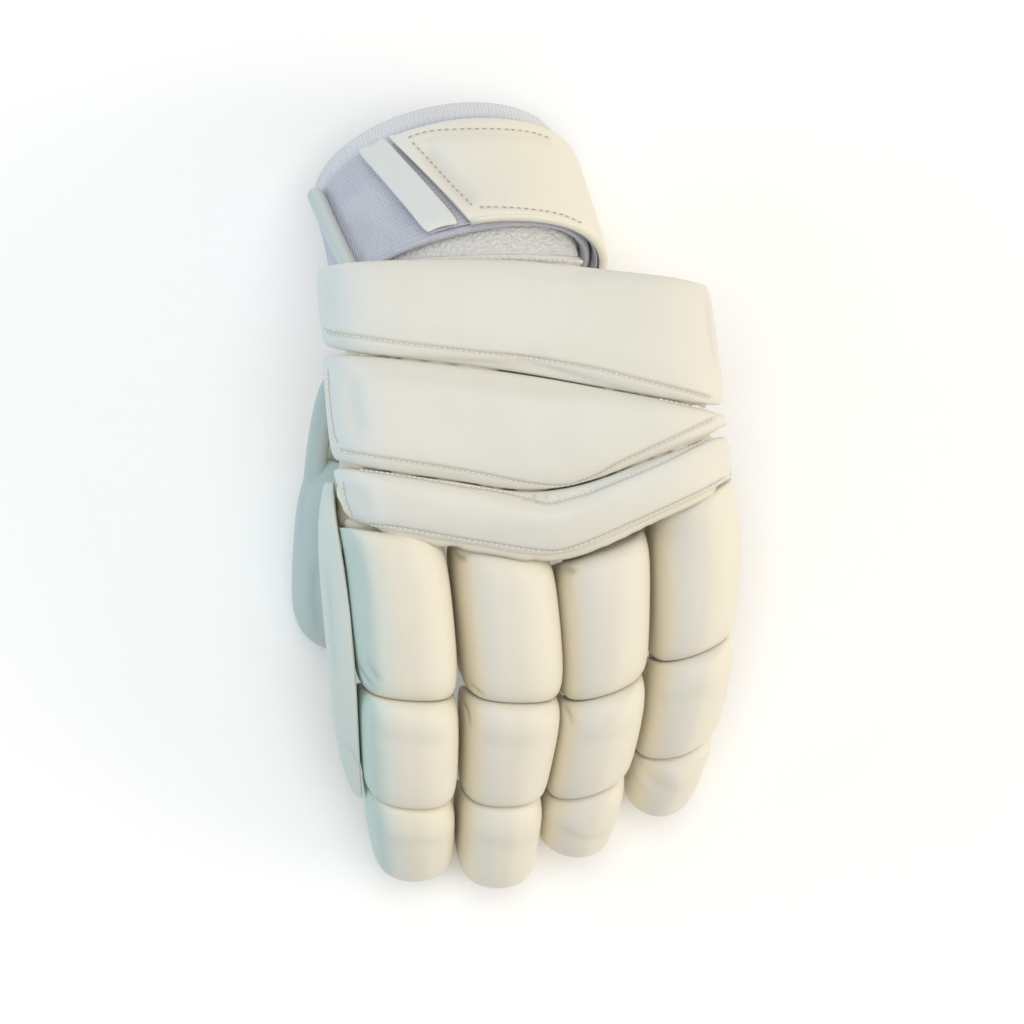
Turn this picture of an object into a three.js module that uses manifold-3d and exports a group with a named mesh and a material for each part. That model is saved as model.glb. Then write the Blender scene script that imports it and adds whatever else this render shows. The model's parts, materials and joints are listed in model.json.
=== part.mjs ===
// A left-hand cricket batting glove, lying palm down with its fingers curled, as a scene of named meshes.
// Millimetres, +Z up. The fingers point along -Y, the cuff along +Y, and the thumb lies on the -X side.
// The table top is z = 0: whatever soft piece would reach below it is pressed flat there.
import * as THREE from "three";
import { mergeVertices } from "three/addons/utils/BufferGeometryUtils.js";
import Module from "manifold-3d";

const wasm = await Module();
wasm.setup();

// Driving sizes
const CLEARANCE = 0.3;
const PADDING_EASE = 0.9;
const WRAP_EASE = 1.2;
const BACK_EASE = 2.4;
const LEATHER_WALL = 2;
const KNIT_WALL = 3;
const FINGER_PITCH = 37;
const HAND_LENGTH = 68;
const HAND_HEIGHT = 38;
const WRIST_WIDTH = 84;
const WRIST_HEIGHT = 42;
const ARCH_HEIGHT = 58;
const PANEL_THICKNESS = 13;
const PANEL_SEAM = 0.6;
const FINGER_PAD_THICKNESS = 15;
const ROOT_INSET = 1.6;
const STALL_HEIGHT = 27;
const STALL_WIDTH = 25;
const CUFF_WIDTH = 95;
const CUFF_HEIGHT = 64;
const CUFF_LENGTH = 53.5;
const STRAP_THICKNESS = 1.5;
const PATCH_THICKNESS = 2.2;
const STRAP_WIDTH = 43.5;
const STRAP_EDGE = 0.5;
const STRAP_SAG = 3.5;
const PIPING_DIAMETER = 6.4;
const PIPING_SET = 0.72;
const THUMB_LENGTH = 90;
const THUMB_WIDTH = 29;
const THUMB_GUARD_THICKNESS = 9;
const SIDE_BAR_THICKNESS = 8.5;
const SIDE_BAR_HEIGHT = 26;
const TURN_DOWN = 6;
const THUMB_DROP = 10;
const WRIST_REACH = 11.2;
const CUFF_DROP = 10.9;
const BAND_DEPTH = 7;
const CUFF_SHIFT = 2.4;

// Roundness of the sections: the power of a superellipse, 2 for an ellipse and more for a box
const HAND_POWER = 3.4;
const FINGER_POWER = { root: 4, middle: 2.4 };
const PAD_POWER = { soft_side: 2.9, sharp_side: 5.2, under: 0.7 };
const CUFF_POWER = 2.15;
const CAP_POWER = 2.4;

// How close together the rows of a pad or panel lie toward its edges: the power of their even places
const BUNCHING = { seams: 0.65, sides: 0.8 };

// Facet counts
const CUFF_SIDES = 30;
const HAND_SIDES = 28;
const THUMB_SIDES = 16;
const STALL_SIDES = 14;
const PIPING_SIDES = 10;

const degrees = THREE.MathUtils.degToRad;
const mix = THREE.MathUtils.lerp;

// One row for each finger. x: place across the knuckles as a share of the pitch. base, middle, tip: lengths
// along the finger as shares of the hand's length. turn_*: heading in plan, degrees toward +X.
// width_*: pad width as a share of the pitch. roll_*: outward roll, degrees. start, slant_*: where the first pad
// begins and how far each seam slopes across the pad, as shares of the pitch.
const FINGERS = [
  { name: "index", x: -1.25, base: 0.91, middle: 0.56, tip: 0.6, turn_base: 5, turn_middle: 0, turn_tip: 1,
    width_root: 1, width_base: 1, width_middle: 0.95, width_tip: 0.84, roll_root: 6, roll_tip: 8,
    start: 0.15, slant_start: 0.145, slant_base: 0.06, slant_middle: 0.05 },
  { name: "middle", x: -0.235, base: 1.0, middle: 0.56, tip: 0.6, turn_base: 5, turn_middle: -7, turn_tip: -6,
    width_root: 1, width_base: 0.98, width_middle: 0.87, width_tip: 0.8, roll_root: 8, roll_tip: 12,
    start: 0.42, slant_start: 0.14, slant_base: 0.02, slant_middle: -0.04 },
  { name: "ring", x: 0.765, base: 1.03, middle: 0.53, tip: 0.47, turn_base: 1, turn_middle: -10, turn_tip: -14,
    width_root: 0.97, width_base: 0.83, width_middle: 0.79, width_tip: 0.76, roll_root: 10, roll_tip: 16,
    start: 0.5, slant_start: -0.17, slant_base: -0.17, slant_middle: -0.22 },
  { name: "little", x: 1.69, base: 0.87, middle: 0.535, tip: 0.46, turn_base: -1, turn_middle: -9, turn_tip: -19,
    width_root: 0.87, width_base: 0.78, width_middle: 0.73, width_tip: 0.7, roll_root: 15, roll_tip: 20,
    start: 0.2, slant_start: -0.16, slant_base: -0.2, slant_middle: -0.24 },
];
const SLOPE_BASE = 12;
const SLOPE_MIDDLE = 25;
const KNUCKLE_TILT = 5;
const KNUCKLE_SKEW = 0.133;

// One row for each seam across the back, from the wrist down. left, dip, right: how far it lies above the knuckle
// line, as shares of the hand's length. at: where it dips; ends: the panels' left and right edges there. Both are
// shares of half the knuckles' width. A panel lies between each seam and the next.
const SEAMS = [
  { left: 1.245, dip: 1.27, right: 1.15, at: -0.2, ends: [-1.11, 0.88] },
  { left: 0.778, dip: 0.672, right: 0.46, at: -0.18, ends: [-1.076, 0.955] },
  { left: 0.176, dip: 0.013, right: 0.358, at: 0.093, ends: [-1.03, 0.97] },
  { left: -0.15, dip: -0.334, right: 0.074, at: 0.127, ends: [-0.93, 0.99] },
];
const PANELS = ["panel_wrist", "panel_knuckle", "panel_chevron"];

// Small helpers
const smooth = (from, to, value) => THREE.MathUtils.smoothstep(value, from, to);
const colour = { cream: 0xe9e5d8, pad: 0xe8e2cf, stall: 0xe3dccb, knit: 0xc9cede, towel: 0xd8d8d8,
  patch: 0xe8e4d8, bar: 0xe4e3dd, piping: 0xd0d6d4, thumb: 0xc3cfcd };

// How far a superellipse of the given half sizes reaches in the direction (across, up).
function reach(across, up, halfWidth, halfHeight, power) {
  const scaled = (Math.abs(across) / halfWidth) ** power + (Math.abs(up) / halfHeight) ** power;
  return scaled ** (-1 / power);
}

// A point in a frame {origin, side, up}.
function inFrame(frame, across, up) {
  return frame.origin.clone().addScaledVector(frame.side, across).addScaledVector(frame.up, up);
}

// Moves the rows of a block closer together toward both ends, where its surface turns down.
const bunched = (share, power) => Math.sign(share) * Math.abs(share) ** power;

// Presses a point up to the table, keeping a wall of the given depth below the inner points.
function rest(point, depth = 0) {
  point.z = Math.max(point.z, depth);
  return point;
}

// Moves each vertex of a geometry by a function of its own coordinates, and merges the copies.
function shaped(geometry, place) {
  geometry.deleteAttribute("normal");
  geometry.deleteAttribute("uv");
  const position = geometry.getAttribute("position");
  for (let i = 0; i < position.count; i++) {
    const point = place(position.getX(i), position.getY(i), position.getZ(i), i);
    position.setXYZ(i, point.x, point.y, point.z);
  }
  const merged = mergeVertices(geometry, 1e-3);
  if (signedVolume(merged) < 0) merged.index.array.reverse();
  merged.computeVertexNormals();
  return merged;
}

function signedVolume(geometry) {
  const position = geometry.getAttribute("position");
  const corner = (i) => new THREE.Vector3().fromBufferAttribute(position, geometry.index.getX(i));
  let sum = 0;
  for (let i = 0; i < geometry.index.count; i += 3) {
    sum += corner(i).dot(corner(i + 1).cross(corner(i + 2)));
  }
  return sum / 6;
}

// A closed block whose grid coordinates, each from -1 to 1 and closer together near the edges, go to place().
function block(across, along, deep, place) {
  const spread = (value) => Math.sin((value * Math.PI) / 2);
  const box = new THREE.BoxGeometry(2, 2, 2, across, along, deep);
  return shaped(box, (x, y, z) => place(spread(x), spread(y), z));
}

// A wall made by turning a closed profile. rows: {at, inset, shrink}; place() gets a row and an angle.
function wall(rows, sides, place, closesOnItself) {
  const profile = rows.map((row, i) => new THREE.Vector2(row.shrink === 0 ? 0 : 1, i));
  if (closesOnItself) profile.push(profile[0].clone());
  const count = profile.length;
  return shaped(new THREE.LatheGeometry(profile, sides), (x, y, z, i) => {
    const row = rows[(i % count) % rows.length];
    const angle = (Math.floor(i / count) % sides) * ((2 * Math.PI) / sides);
    return place(row, angle);
  });
}

// Rows of a tube open at both ends: out along the outer face and back along the inner one.
function openRows(stations, thickness) {
  const outer = stations.map((at) => ({ at, inset: 0, shrink: 1 }));
  const inner = stations.map((at) => ({ at, inset: thickness, shrink: 1 })).reverse();
  return [...inner, ...outer];
}

// Rows of a cup: open at 0, its closed end rounded over the last stretch.
function cupRows(stations, roundings, end, thickness) {
  const face = (inset) => [
    ...stations.map((at) => ({ at, inset, shrink: 1 })),
    ...roundings.map((angle) => ({
      at: mix(stations.at(-1), end - inset, Math.sin(degrees(angle))),
      inset,
      shrink: angle === 90 ? 0 : Math.cos(degrees(angle)),
    })),
  ];
  return [...face(thickness).reverse(), ...face(0)];
}

function meshOf(name, geometry, hex, roughness) {
  const material = new THREE.MeshStandardMaterial({ color: hex, roughness, metalness: 0 });
  const mesh = new THREE.Mesh(geometry, material);
  mesh.name = name;
  return mesh;
}

// Knuckle line and hand
const fingers = FINGERS.map((row) => ({ ...row, x: row.x * FINGER_PITCH }));
const first = fingers[0];
const last = fingers.at(-1);
const knuckleLeft = first.x - (first.width_root * FINGER_PITCH) / 2;
const knuckleRight = last.x + (last.width_root * FINGER_PITCH) / 2;
const knuckleMiddle = (knuckleLeft + knuckleRight) / 2;
const knuckleHalf = (knuckleRight - knuckleLeft) / 2;
const knuckleY = (x) => KNUCKLE_SKEW * (x - knuckleMiddle);
const tiltDrop = (x) => Math.tan(degrees(KNUCKLE_TILT)) * (x - knuckleMiddle);
const wristX = knuckleMiddle - 0.35 * HAND_LENGTH;

// The hand's section at a share t of its length, from the knuckles (0) to the wrist (1).
function handSection(t) {
  const centreX = mix(knuckleMiddle, wristX, t ** 1.2);
  return {
    centreX,
    y: mix(0, HAND_LENGTH, t),
    z: ARCH_HEIGHT + 2 * Math.sin(Math.PI * t) - 1.5 * t,
    halfWidth: mix(knuckleHalf, WRIST_WIDTH / 2, smooth(0, 1, t)),
    halfHeight: mix(HAND_HEIGHT, WRIST_HEIGHT, t) / 2,
    tilt: KNUCKLE_TILT * (1 - t),
    skew: KNUCKLE_SKEW * (1 - t),
  };
}

function handPoint(t, angle, inset) {
  const s = handSection(t);
  const across = Math.sin(angle);
  const up = Math.cos(angle);
  const r = reach(across, up, s.halfWidth - inset, s.halfHeight - inset, HAND_POWER);
  const x = across * r;
  const z = up * r;
  return rest(
    new THREE.Vector3(
      s.centreX + x,
      s.y + s.skew * x,
      s.z + z - Math.tan(degrees(s.tilt)) * x,
    ),
    inset,
  );
}

// Thumb
const thumbRoot = new THREE.Vector3(knuckleLeft + 0.46 * FINGER_PITCH, 0.8 * HAND_LENGTH, ARCH_HEIGHT - THUMB_DROP);
const thumbTurn = 10;
const thumbRoll = -52;

function thumbFrame(s) {
  const share = s / THUMB_LENGTH;
  const endZ = THUMB_WIDTH / 2 - 5;
  const z = mix(thumbRoot.z, endZ, share ** 0.72);
  const sideways = -0.42 * FINGER_PITCH * Math.sin(Math.min(share, 1) * Math.PI * 0.5) ** 0.8;
  const origin = new THREE.Vector3(thumbRoot.x + sideways, thumbRoot.y - s * 1.17, z);
  const heading = degrees(thumbTurn * (1 - 2.2 * share));
  const forward = new THREE.Vector3(-Math.sin(heading), -Math.cos(heading), -0.3 + 0.2 * share).normalize();
  return turned(origin, forward, thumbRoll);
}

// A frame whose third axis is the given direction, rolled about it.
function turned(origin, forward, roll) {
  const side = new THREE.Vector3(0, 0, 1).cross(forward).normalize();
  const up = new THREE.Vector3().crossVectors(forward, side);
  const angle = degrees(roll);
  return {
    origin,
    forward,
    side: side.clone().multiplyScalar(Math.cos(angle)).addScaledVector(up, -Math.sin(angle)),
    up: up.clone().multiplyScalar(Math.cos(angle)).addScaledVector(side, Math.sin(angle)),
  };
}

// A finger's path: straight stretches with eased bends, walked in small steps from the knuckle line.
function fingerPath(row) {
  const lengths = [row.base, row.middle, row.tip].map((share) => share * HAND_LENGTH);
  const ends = [lengths[0], lengths[0] + lengths[1], lengths[0] + lengths[1] + lengths[2]];
  const ease = 0.16 * HAND_LENGTH;
  const rootZ = ARCH_HEIGHT - tiltDrop(row.x);
  const landing = 0.1 * STALL_HEIGHT;
  const fallen = rootZ - lengths[0] * Math.sin(degrees(SLOPE_BASE)) - lengths[1] * Math.sin(degrees(SLOPE_MIDDLE));
  const slopeTip = Math.asin(THREE.MathUtils.clamp((fallen - landing) / lengths[2], 0, 0.97)) / degrees(1);
  const blend = (values, s) => {
    const one = smooth(ends[0] - ease, ends[0] + ease, s);
    const two = smooth(ends[1] - ease, ends[1] + ease, s);
    return values[0] + (values[1] - values[0]) * one + (values[2] - values[1]) * two;
  };
  const steps = 90;
  const step = ends[2] / steps;
  const walk = [new THREE.Vector3(row.x, knuckleY(row.x), rootZ)];
  const directionAt = (s) => {
    const turn = degrees(blend([row.turn_base, row.turn_middle, row.turn_tip], s));
    const slope = degrees(blend([SLOPE_BASE, SLOPE_MIDDLE, slopeTip], s) * smooth(-20, 12, s));
    return new THREE.Vector3(
      Math.sin(turn) * Math.cos(slope),
      -Math.cos(turn) * Math.cos(slope),
      -Math.sin(slope),
    );
  };
  for (let i = 0; i < steps; i++) {
    walk.push(walk[i].clone().addScaledVector(directionAt((i + 0.5) * step), step));
  }
  const rootSide = new THREE.Vector3(1, KNUCKLE_SKEW, -Math.tan(degrees(KNUCKLE_TILT)));
  const rootUp = new THREE.Vector3(0, 0, 1);
  const at = (s) => {
    const place = THREE.MathUtils.clamp(s / step, 0, steps - 1e-6);
    const i = Math.floor(place);
    const origin = walk[i].clone().lerp(walk[i + 1], place - i);
    const forward = directionAt(s);
    if (s < 0) origin.addScaledVector(forward, s);
    if (s > ends[2]) origin.addScaledVector(forward, s - ends[2]);
    const rolled = turned(origin, forward, mix(row.roll_root, row.roll_tip, smooth(0, ends[1], s)));
    const settled = smooth(0, 0.3 * HAND_LENGTH, s);
    rolled.side = rootSide.clone().lerp(rolled.side, settled);
    rolled.up = rootUp.clone().lerp(rolled.up, settled);
    return rolled;
  };
  const widthAt = (s) => {
    const shares = [row.width_root, row.width_base, row.width_middle, row.width_tip];
    const marks = [0, ends[0], mix(ends[0], ends[1], 0.7), mix(ends[1], ends[2], 0.5)];
    const k = s < marks[1] ? 0 : s < marks[2] ? 1 : 2;
    return FINGER_PITCH * mix(shares[k], shares[k + 1], smooth(marks[k], marks[k + 1], s));
  };
  return { row, ends, at, widthAt };
}

// Half width and half height of a stall: the hand's own section at its root, then a round finger.
function stallHalf(path, s) {
  const settled = smooth(0, 0.3 * HAND_LENGTH, s);
  const slim = path.widthAt(s) / (path.row.width_root * FINGER_PITCH);
  const rootWidth = (path.row.width_root * FINGER_PITCH) / 2 - ROOT_INSET;
  return {
    width: mix(rootWidth, (STALL_WIDTH / 2) * slim, settled),
    height: mix(0.86 * (HAND_HEIGHT / 2), (STALL_HEIGHT / 2) * slim, settled),
    power: mix(FINGER_POWER.root, FINGER_POWER.middle, settled),
  };
}

const STALL_STATIONS = [0, 0.07, 0.14, 0.24, 0.38, 0.54, 0.7, 0.86];
const CAP_ANGLES = [28, 56, 90];

function stallGeometry(path) {
  const end = path.ends[2];
  const stations = STALL_STATIONS.map((share) => mix(CLEARANCE, end, share));
  return wall(cupRows(stations, CAP_ANGLES, end, LEATHER_WALL), STALL_SIDES, (row, angle) => {
    const frame = path.at(row.at);
    const half = stallHalf(path, Math.min(row.at, stations.at(-1)));
    const across = Math.sin(angle);
    const up = Math.cos(angle);
    const r = reach(across, up, half.width - row.inset, half.height - row.inset, half.power) * row.shrink;
    return rest(inFrame(frame, across * r, up * r), row.inset);
  });
}

// A finger pad: an arch over the stall from leg to leg, its seams sloping and its corners rounded. The tip pad
// also closes over the end of the finger.
function padGeometry(path, from, to, slantFrom, slantTo, isTip) {
  const capStart = mix(from, to, 0.52);
  const tipReach = 0.42 * FINGER_PAD_THICKNESS;
  const legAngle = degrees(104);
  const stallEnd = path.ends[2];
  const stallCapStart = mix(CLEARANCE, stallEnd, STALL_STATIONS.at(-1));
  return block(10, isTip ? 7 : 5, 2, (u, row, w) => {
    const v = isTip && row > 0 ? row : bunched(row, BUNCHING.seams);
    const round = (u < 0 ? 0.07 : 0.04) * (to - from) * Math.abs(u) ** 3;
    const share = (v + 1) / 2;
    const angle = u * legAngle;
    const across = Math.sin(angle);
    const up = Math.cos(angle);
    const start = from + slantFrom * across + round;
    const stop = to + slantTo * across - round;
    const s = isTip ? mix(start, to + tipReach * (w + 1) * 0.5, share) : mix(start, stop, share);
    const held = Math.min(s, isTip ? capStart : s);
    const half = stallHalf(path, Math.min(s, stallCapStart));
    const closing = s <= stallCapStart ? 1 : Math.sqrt(Math.max(0, 1 - ((s - stallCapStart) / (to - stallCapStart)) ** 2));
    const inner = reach(across, up, half.width + PADDING_EASE, half.height + PADDING_EASE, half.power + PAD_POWER.under);
    const outerHalf = path.widthAt(held) / 2 - CLEARANCE;
    const top = half.height + FINGER_PAD_THICKNESS;
    const outerWall = reach(across, up, outerHalf, top, u < 0 ? PAD_POWER.soft_side : PAD_POWER.sharp_side);
    const endward = Math.abs(isTip ? Math.min(v, 0) : v) ** 8;
    const edge = 1 - (0.3 + 0.15 * Math.max(up, 0)) * endward;
    const outer = Math.max(mix(inner, outerWall, edge), inner + 0.9);
    let r = mix(inner, outer, (w + 1) / 2);
    if (isTip) {
      const turn = Math.max(0, (s - capStart) / (to + tipReach - capStart));
      const cap = Math.sqrt(Math.max(0, 1 - turn ** CAP_POWER));
      const innerCap = Math.max(inner * closing, 0);
      r = w > 0.5 ? outer * cap : mix(innerCap, Math.max(outer * cap, innerCap), (w + 1) / 2);
    }
    return rest(inFrame(path.at(s), across * r, up * r), 0);
  });
}

// Back panels
const panelX = (share) => knuckleMiddle + share * knuckleHalf;

// The underside of the panels: the hand's back, drawn down toward both sides.
function backHeight(x, y) {
  const t = y / HAND_LENGTH;
  const s = handSection(THREE.MathUtils.clamp(t, 0, 1));
  const side = (x - knuckleMiddle) / knuckleHalf;
  const turnDown = TURN_DOWN * side ** 6;
  const beyond = 0.26 * HAND_LENGTH * Math.max(0, -t);
  return s.z + HAND_HEIGHT / 2 + BACK_EASE + CLEARANCE - 0.8 * tiltDrop(x) - turnDown - beyond;
}

// How far a seam lies from the knuckle line at a place across the hand.
function seamHeight(seam, x) {
  const side = (x - knuckleMiddle) / knuckleHalf;
  const rising = side < seam.at;
  const toEnd = (side - seam.at) / (seam.ends[rising ? 0 : 1] - seam.at);
  return HAND_LENGTH * mix(seam.dip, rising ? seam.left : seam.right, toEnd);
}

function panelGeometry(upper, lower) {
  const corner = 0.024 * HAND_LENGTH;
  return block(14, 5, 2, (column, row, w) => {
    const u = bunched(column, BUNCHING.sides);
    const v = bunched(row, BUNCHING.seams);
    const share = (v + 1) / 2;
    const left = panelX(mix(lower.ends[0], upper.ends[0], share)) + corner * Math.abs(v) ** 8;
    const right = panelX(mix(lower.ends[1], upper.ends[1], share)) - corner * Math.abs(v) ** 8;
    const x = mix(left, right, (u + 1) / 2);
    const low = seamHeight(lower, x);
    const high = seamHeight(upper, x);
    const trim = PANEL_SEAM / 2 + Math.min(corner, 0.2 * (high - low)) * Math.abs(u) ** 10;
    const y = mix(low + trim, high - trim, share);
    const dome = (1 - 0.55 * Math.abs(u) ** 10) * (1 - 0.42 * Math.abs(v) ** 6);
    return new THREE.Vector3(x, y, backHeight(x, y) + (w + 1) * 0.5 * PANEL_THICKNESS * dome);
  });
}

// Wrist and cuff
const cuffLean = -14.5;
const cuffFall = 34;
const cuffForward = new THREE.Vector3(
  Math.sin(degrees(cuffLean)) * Math.cos(degrees(cuffFall)),
  Math.cos(degrees(cuffLean)) * Math.cos(degrees(cuffFall)),
  -Math.sin(degrees(cuffFall)),
);
const cuffBase = new THREE.Vector3(wristX - CUFF_SHIFT, HAND_LENGTH + WRIST_REACH, ARCH_HEIGHT - CUFF_DROP);
const cuffRimSlant = 8;

// The cuff's frame at a distance along its axis. The angle runs from its back (0) toward +X.
function cuffFrame(s) {
  const origin = cuffBase.clone().addScaledVector(cuffForward, s);
  const side = new THREE.Vector3(Math.cos(degrees(cuffLean)), -Math.sin(degrees(cuffLean)), 0);
  const up = new THREE.Vector3().crossVectors(side, cuffForward).normalize();
  return { origin, side, up };
}

function cuffPoint(s, angle, outward) {
  const across = Math.sin(angle);
  const up = Math.cos(angle);
  const share = THREE.MathUtils.clamp(s / CUFF_LENGTH, -0.4, 1.2);
  const width = (CUFF_WIDTH / 2) * (1 - 0.03 * share) + outward;
  const height = (CUFF_HEIGHT / 2) * (1 + 0.02 * share) + outward;
  const r = reach(across, up, width, height, CUFF_POWER);
  return inFrame(cuffFrame(s), across * r, up * r);
}

const rimAt = (angle) => CUFF_LENGTH + cuffRimSlant * (Math.cos(angle) - 0.35) * 0.74;

function cuffGeometry() {
  const stations = [0, 0.2, 0.45, 0.7, 0.92, 1];
  const lip = { 0.92: 0.6, 1: -0.4 };
  return wall(openRows(stations, KNIT_WALL), CUFF_SIDES, (row, angle) => {
    const swell = row.inset ? 0 : lip[row.at] ?? 0;
    return rest(cuffPoint(row.at * rimAt(angle), angle, swell - row.inset), row.inset);
  }, true);
}

// The towelling band: from the hand's open end into the cuff.
function bandGeometry() {
  const stations = [0, 0.3, 0.6, 0.85, 1];
  const nested = -KNIT_WALL - WRAP_EASE;
  return wall(openRows(stations, KNIT_WALL), CUFF_SIDES, (row, angle) => {
    const end = cuffPoint(BAND_DEPTH, angle, nested - row.inset);
    const start = handPoint(1, angle, row.inset);
    start.y += CLEARANCE;
    const middle = start.clone().lerp(cuffPoint(-6, angle, nested - row.inset), 0.75);
    const t = row.at;
    return start.multiplyScalar((1 - t) ** 2).addScaledVector(middle, 2 * t * (1 - t)).addScaledVector(end, t * t);
  }, true);
}

// A layer of the strap on the cuff. ends: the angles of its start and end, each at the rim and at the base side.
function strapLayer(ends, inset, level, thickness, segments) {
  return block(segments, 3, 1, (u, v, w) => {
    const share = (v + 1) / 2;
    const start = mix(ends.startBase, ends.startRim, share);
    const stop = mix(ends.stopBase, ends.stopRim, share);
    const angle = degrees(mix(start, stop, (u + 1) / 2));
    const low = STRAP_EDGE - STRAP_SAG * Math.sin(THREE.MathUtils.clamp(angle, 0, Math.PI / 2)) ** 2;
    const high = Math.min(low + STRAP_WIDTH, rimAt(angle) - STRAP_EDGE);
    const s = mix(low + inset, high - inset, share);
    const lift = level + ((w + 1) / 2) * thickness * (1 - 0.25 * Math.abs(v) ** 8);
    return rest(cuffPoint(s, angle, lift), 0);
  });
}

const strapBase = { startRim: -36, startBase: -13, stopRim: 128, stopBase: 128 };
const strapPatch = { startRim: -19.5, startBase: 10.5, stopRim: 124, stopBase: 124 };
const strapBar = { startRim: -37, startBase: -14, stopRim: -22.5, stopBase: 4 };
const strapLift = 2 * WRAP_EASE + STRAP_THICKNESS;

// The smooth roll on the thumb side of the cuff
function pipingGeometry() {
  const radius = PIPING_DIAMETER / 2;
  const places = [0.78, 0.58, 0.36, 0.14, -0.06].map((share, i) =>
    cuffPoint(share * CUFF_LENGTH, degrees(-69 + 3 * i), PIPING_SET * radius + WRAP_EASE),
  );
  const route = new THREE.CatmullRomCurve3(places);
  const stations = [0, 0.25, 0.5, 0.75, 1];
  const ring = (angle, at) => ({ at, shrink: Math.cos(degrees(angle)), bulge: Math.sin(degrees(angle)) });
  const rows = [
    { at: 0, shrink: 0, bulge: -1 },
    ring(-50, 0),
    ...stations.map((at) => ({ at, shrink: 1, bulge: 0 })),
    ring(50, 1),
    { at: 1, shrink: 0, bulge: 1 },
  ];
  return wall(rows, PIPING_SIDES, (row, angle) => {
    const forward = route.getTangentAt(row.at);
    const outward = new THREE.Vector3().crossVectors(forward, cuffFrame(0).up).normalize();
    const up = new THREE.Vector3().crossVectors(outward, forward);
    const centre = route.getPointAt(row.at).addScaledVector(forward, row.bulge * radius);
    return centre
      .addScaledVector(outward, Math.sin(angle) * radius * row.shrink)
      .addScaledVector(up, Math.cos(angle) * radius * row.shrink);
  });
}

// Thumb pieces
const thumbHalf = (s) => (THUMB_WIDTH / 2) * (1 - 0.1 * smooth(0, THUMB_LENGTH, s));

function thumbRing(s, angle, outward, shrink) {
  const r = (thumbHalf(s) + outward) * shrink;
  return inFrame(thumbFrame(s), Math.sin(angle) * r, Math.cos(angle) * r * 0.94);
}

const THUMB_STATIONS = [0, 0.16, 0.32, 0.48, 0.64, 0.8];

function thumbGeometry() {
  const stations = THUMB_STATIONS.map((share) => share * THUMB_LENGTH);
  const rows = cupRows(stations, CAP_ANGLES, THUMB_LENGTH, LEATHER_WALL);
  return wall(rows, THUMB_SIDES, (row, angle) => rest(thumbRing(row.at, angle, -row.inset, row.shrink), row.inset));
}

function thumbGuardGeometry() {
  const from = 0.37 * THUMB_LENGTH;
  const to = THUMB_LENGTH + 0.5 * THUMB_GUARD_THICKNESS;
  const capStart = THUMB_STATIONS.at(-1) * THUMB_LENGTH;
  return block(9, 9, 2, (u, v, w) => {
    const s = mix(from, mix(THUMB_LENGTH, to, (w + 1) / 2), (v + 1) / 2);
    const angle = degrees(96) * u;
    const innerTurn = THREE.MathUtils.clamp((s - capStart) / (THUMB_LENGTH - capStart), 0, 1);
    const outerTurn = THREE.MathUtils.clamp((s - capStart) / (to - capStart), 0, 1);
    const innerR = (thumbHalf(s) + WRAP_EASE) * Math.sqrt(1 - innerTurn ** CAP_POWER);
    const edge = (1 - 0.6 * Math.abs(u) ** 4) * (1 - 0.6 * Math.abs(Math.min(v, 0)) ** 4);
    const outerR = (thumbHalf(s) + THUMB_GUARD_THICKNESS * edge) * Math.sqrt(1 - outerTurn ** CAP_POWER);
    const r = mix(innerR, Math.max(outerR, innerR), (w + 1) / 2);
    return rest(inFrame(thumbFrame(s), Math.sin(angle) * r, Math.cos(angle) * r * 0.94), 0);
  });
}

// The long pad beside the index finger
function sideBarGeometry(path) {
  const from = -0.22 * HAND_LENGTH;
  const to = path.ends[1] + 0.04 * HAND_LENGTH;
  return block(2, 9, 5, (u, v, w) => {
    const s = mix(from, to, (v + 1) / 2);
    const frame = path.at(s);
    const inside = -(path.widthAt(Math.max(s, 0)) / 2 + CLEARANCE);
    const taper = (1 - 0.6 * Math.abs(v) ** 4) * (1 - 0.45 * Math.abs(w) ** 3);
    const across = inside - ((1 - u) / 2) * SIDE_BAR_THICKNESS * taper;
    const height = SIDE_BAR_HEIGHT * (1 - 0.45 * Math.abs(v) ** 4);
    const up = 1 + (height / 2) * w * (1 - 0.12 * (1 - u));
    return inFrame(frame, across, up);
  });
}

// Solids for the cut where the thumb joins the hand
function solidOf(geometry) {
  const triVerts = new Uint32Array(geometry.index.array);
  const vertProperties = new Float32Array(geometry.getAttribute("position").array);
  return new wasm.Manifold(new wasm.Mesh({ numProp: 3, vertProperties, triVerts }));
}

function geometryOf(solid) {
  const mesh = solid.getMesh();
  const geometry = new THREE.BufferGeometry();
  geometry.setAttribute("position", new THREE.BufferAttribute(new Float32Array(mesh.vertProperties), 3));
  geometry.setIndex(new THREE.BufferAttribute(new Uint32Array(mesh.triVerts), 1));
  geometry.computeVertexNormals();
  return geometry;
}

const HAND_STATIONS = [0, 0.2, 0.4, 0.6, 0.8, 1];

function handGeometry() {
  return wall(openRows(HAND_STATIONS, LEATHER_WALL), HAND_SIDES, (row, angle) => handPoint(row.at, angle, row.inset), true);
}

// The hand's outer form as one closed solid, a clearance larger, to trim the thumb with.
function handFill() {
  const rows = [
    { at: 0, shrink: 0 },
    ...HAND_STATIONS.map((at) => ({ at, shrink: 1 })),
    { at: 1, shrink: 0 },
  ];
  return wall(rows, HAND_SIDES, (row, angle) => {
    const point = handPoint(row.at, angle, -CLEARANCE);
    const s = handSection(row.at);
    return row.shrink ? point : new THREE.Vector3(s.centreX, s.y, s.z);
  });
}

// The thumb's passage through the hand's wall, as one closed solid.
function thumbPassage() {
  const rows = [
    { at: 0.02, shrink: 0 },
    ...[0.02, 0.2, 0.4, 0.6].map((at) => ({ at, shrink: 1 })),
    { at: 0.6, shrink: 0 },
  ];
  return wall(rows, THUMB_SIDES, (row, angle) => thumbRing(row.at * THUMB_LENGTH, angle, -LEATHER_WALL, row.shrink));
}

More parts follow.
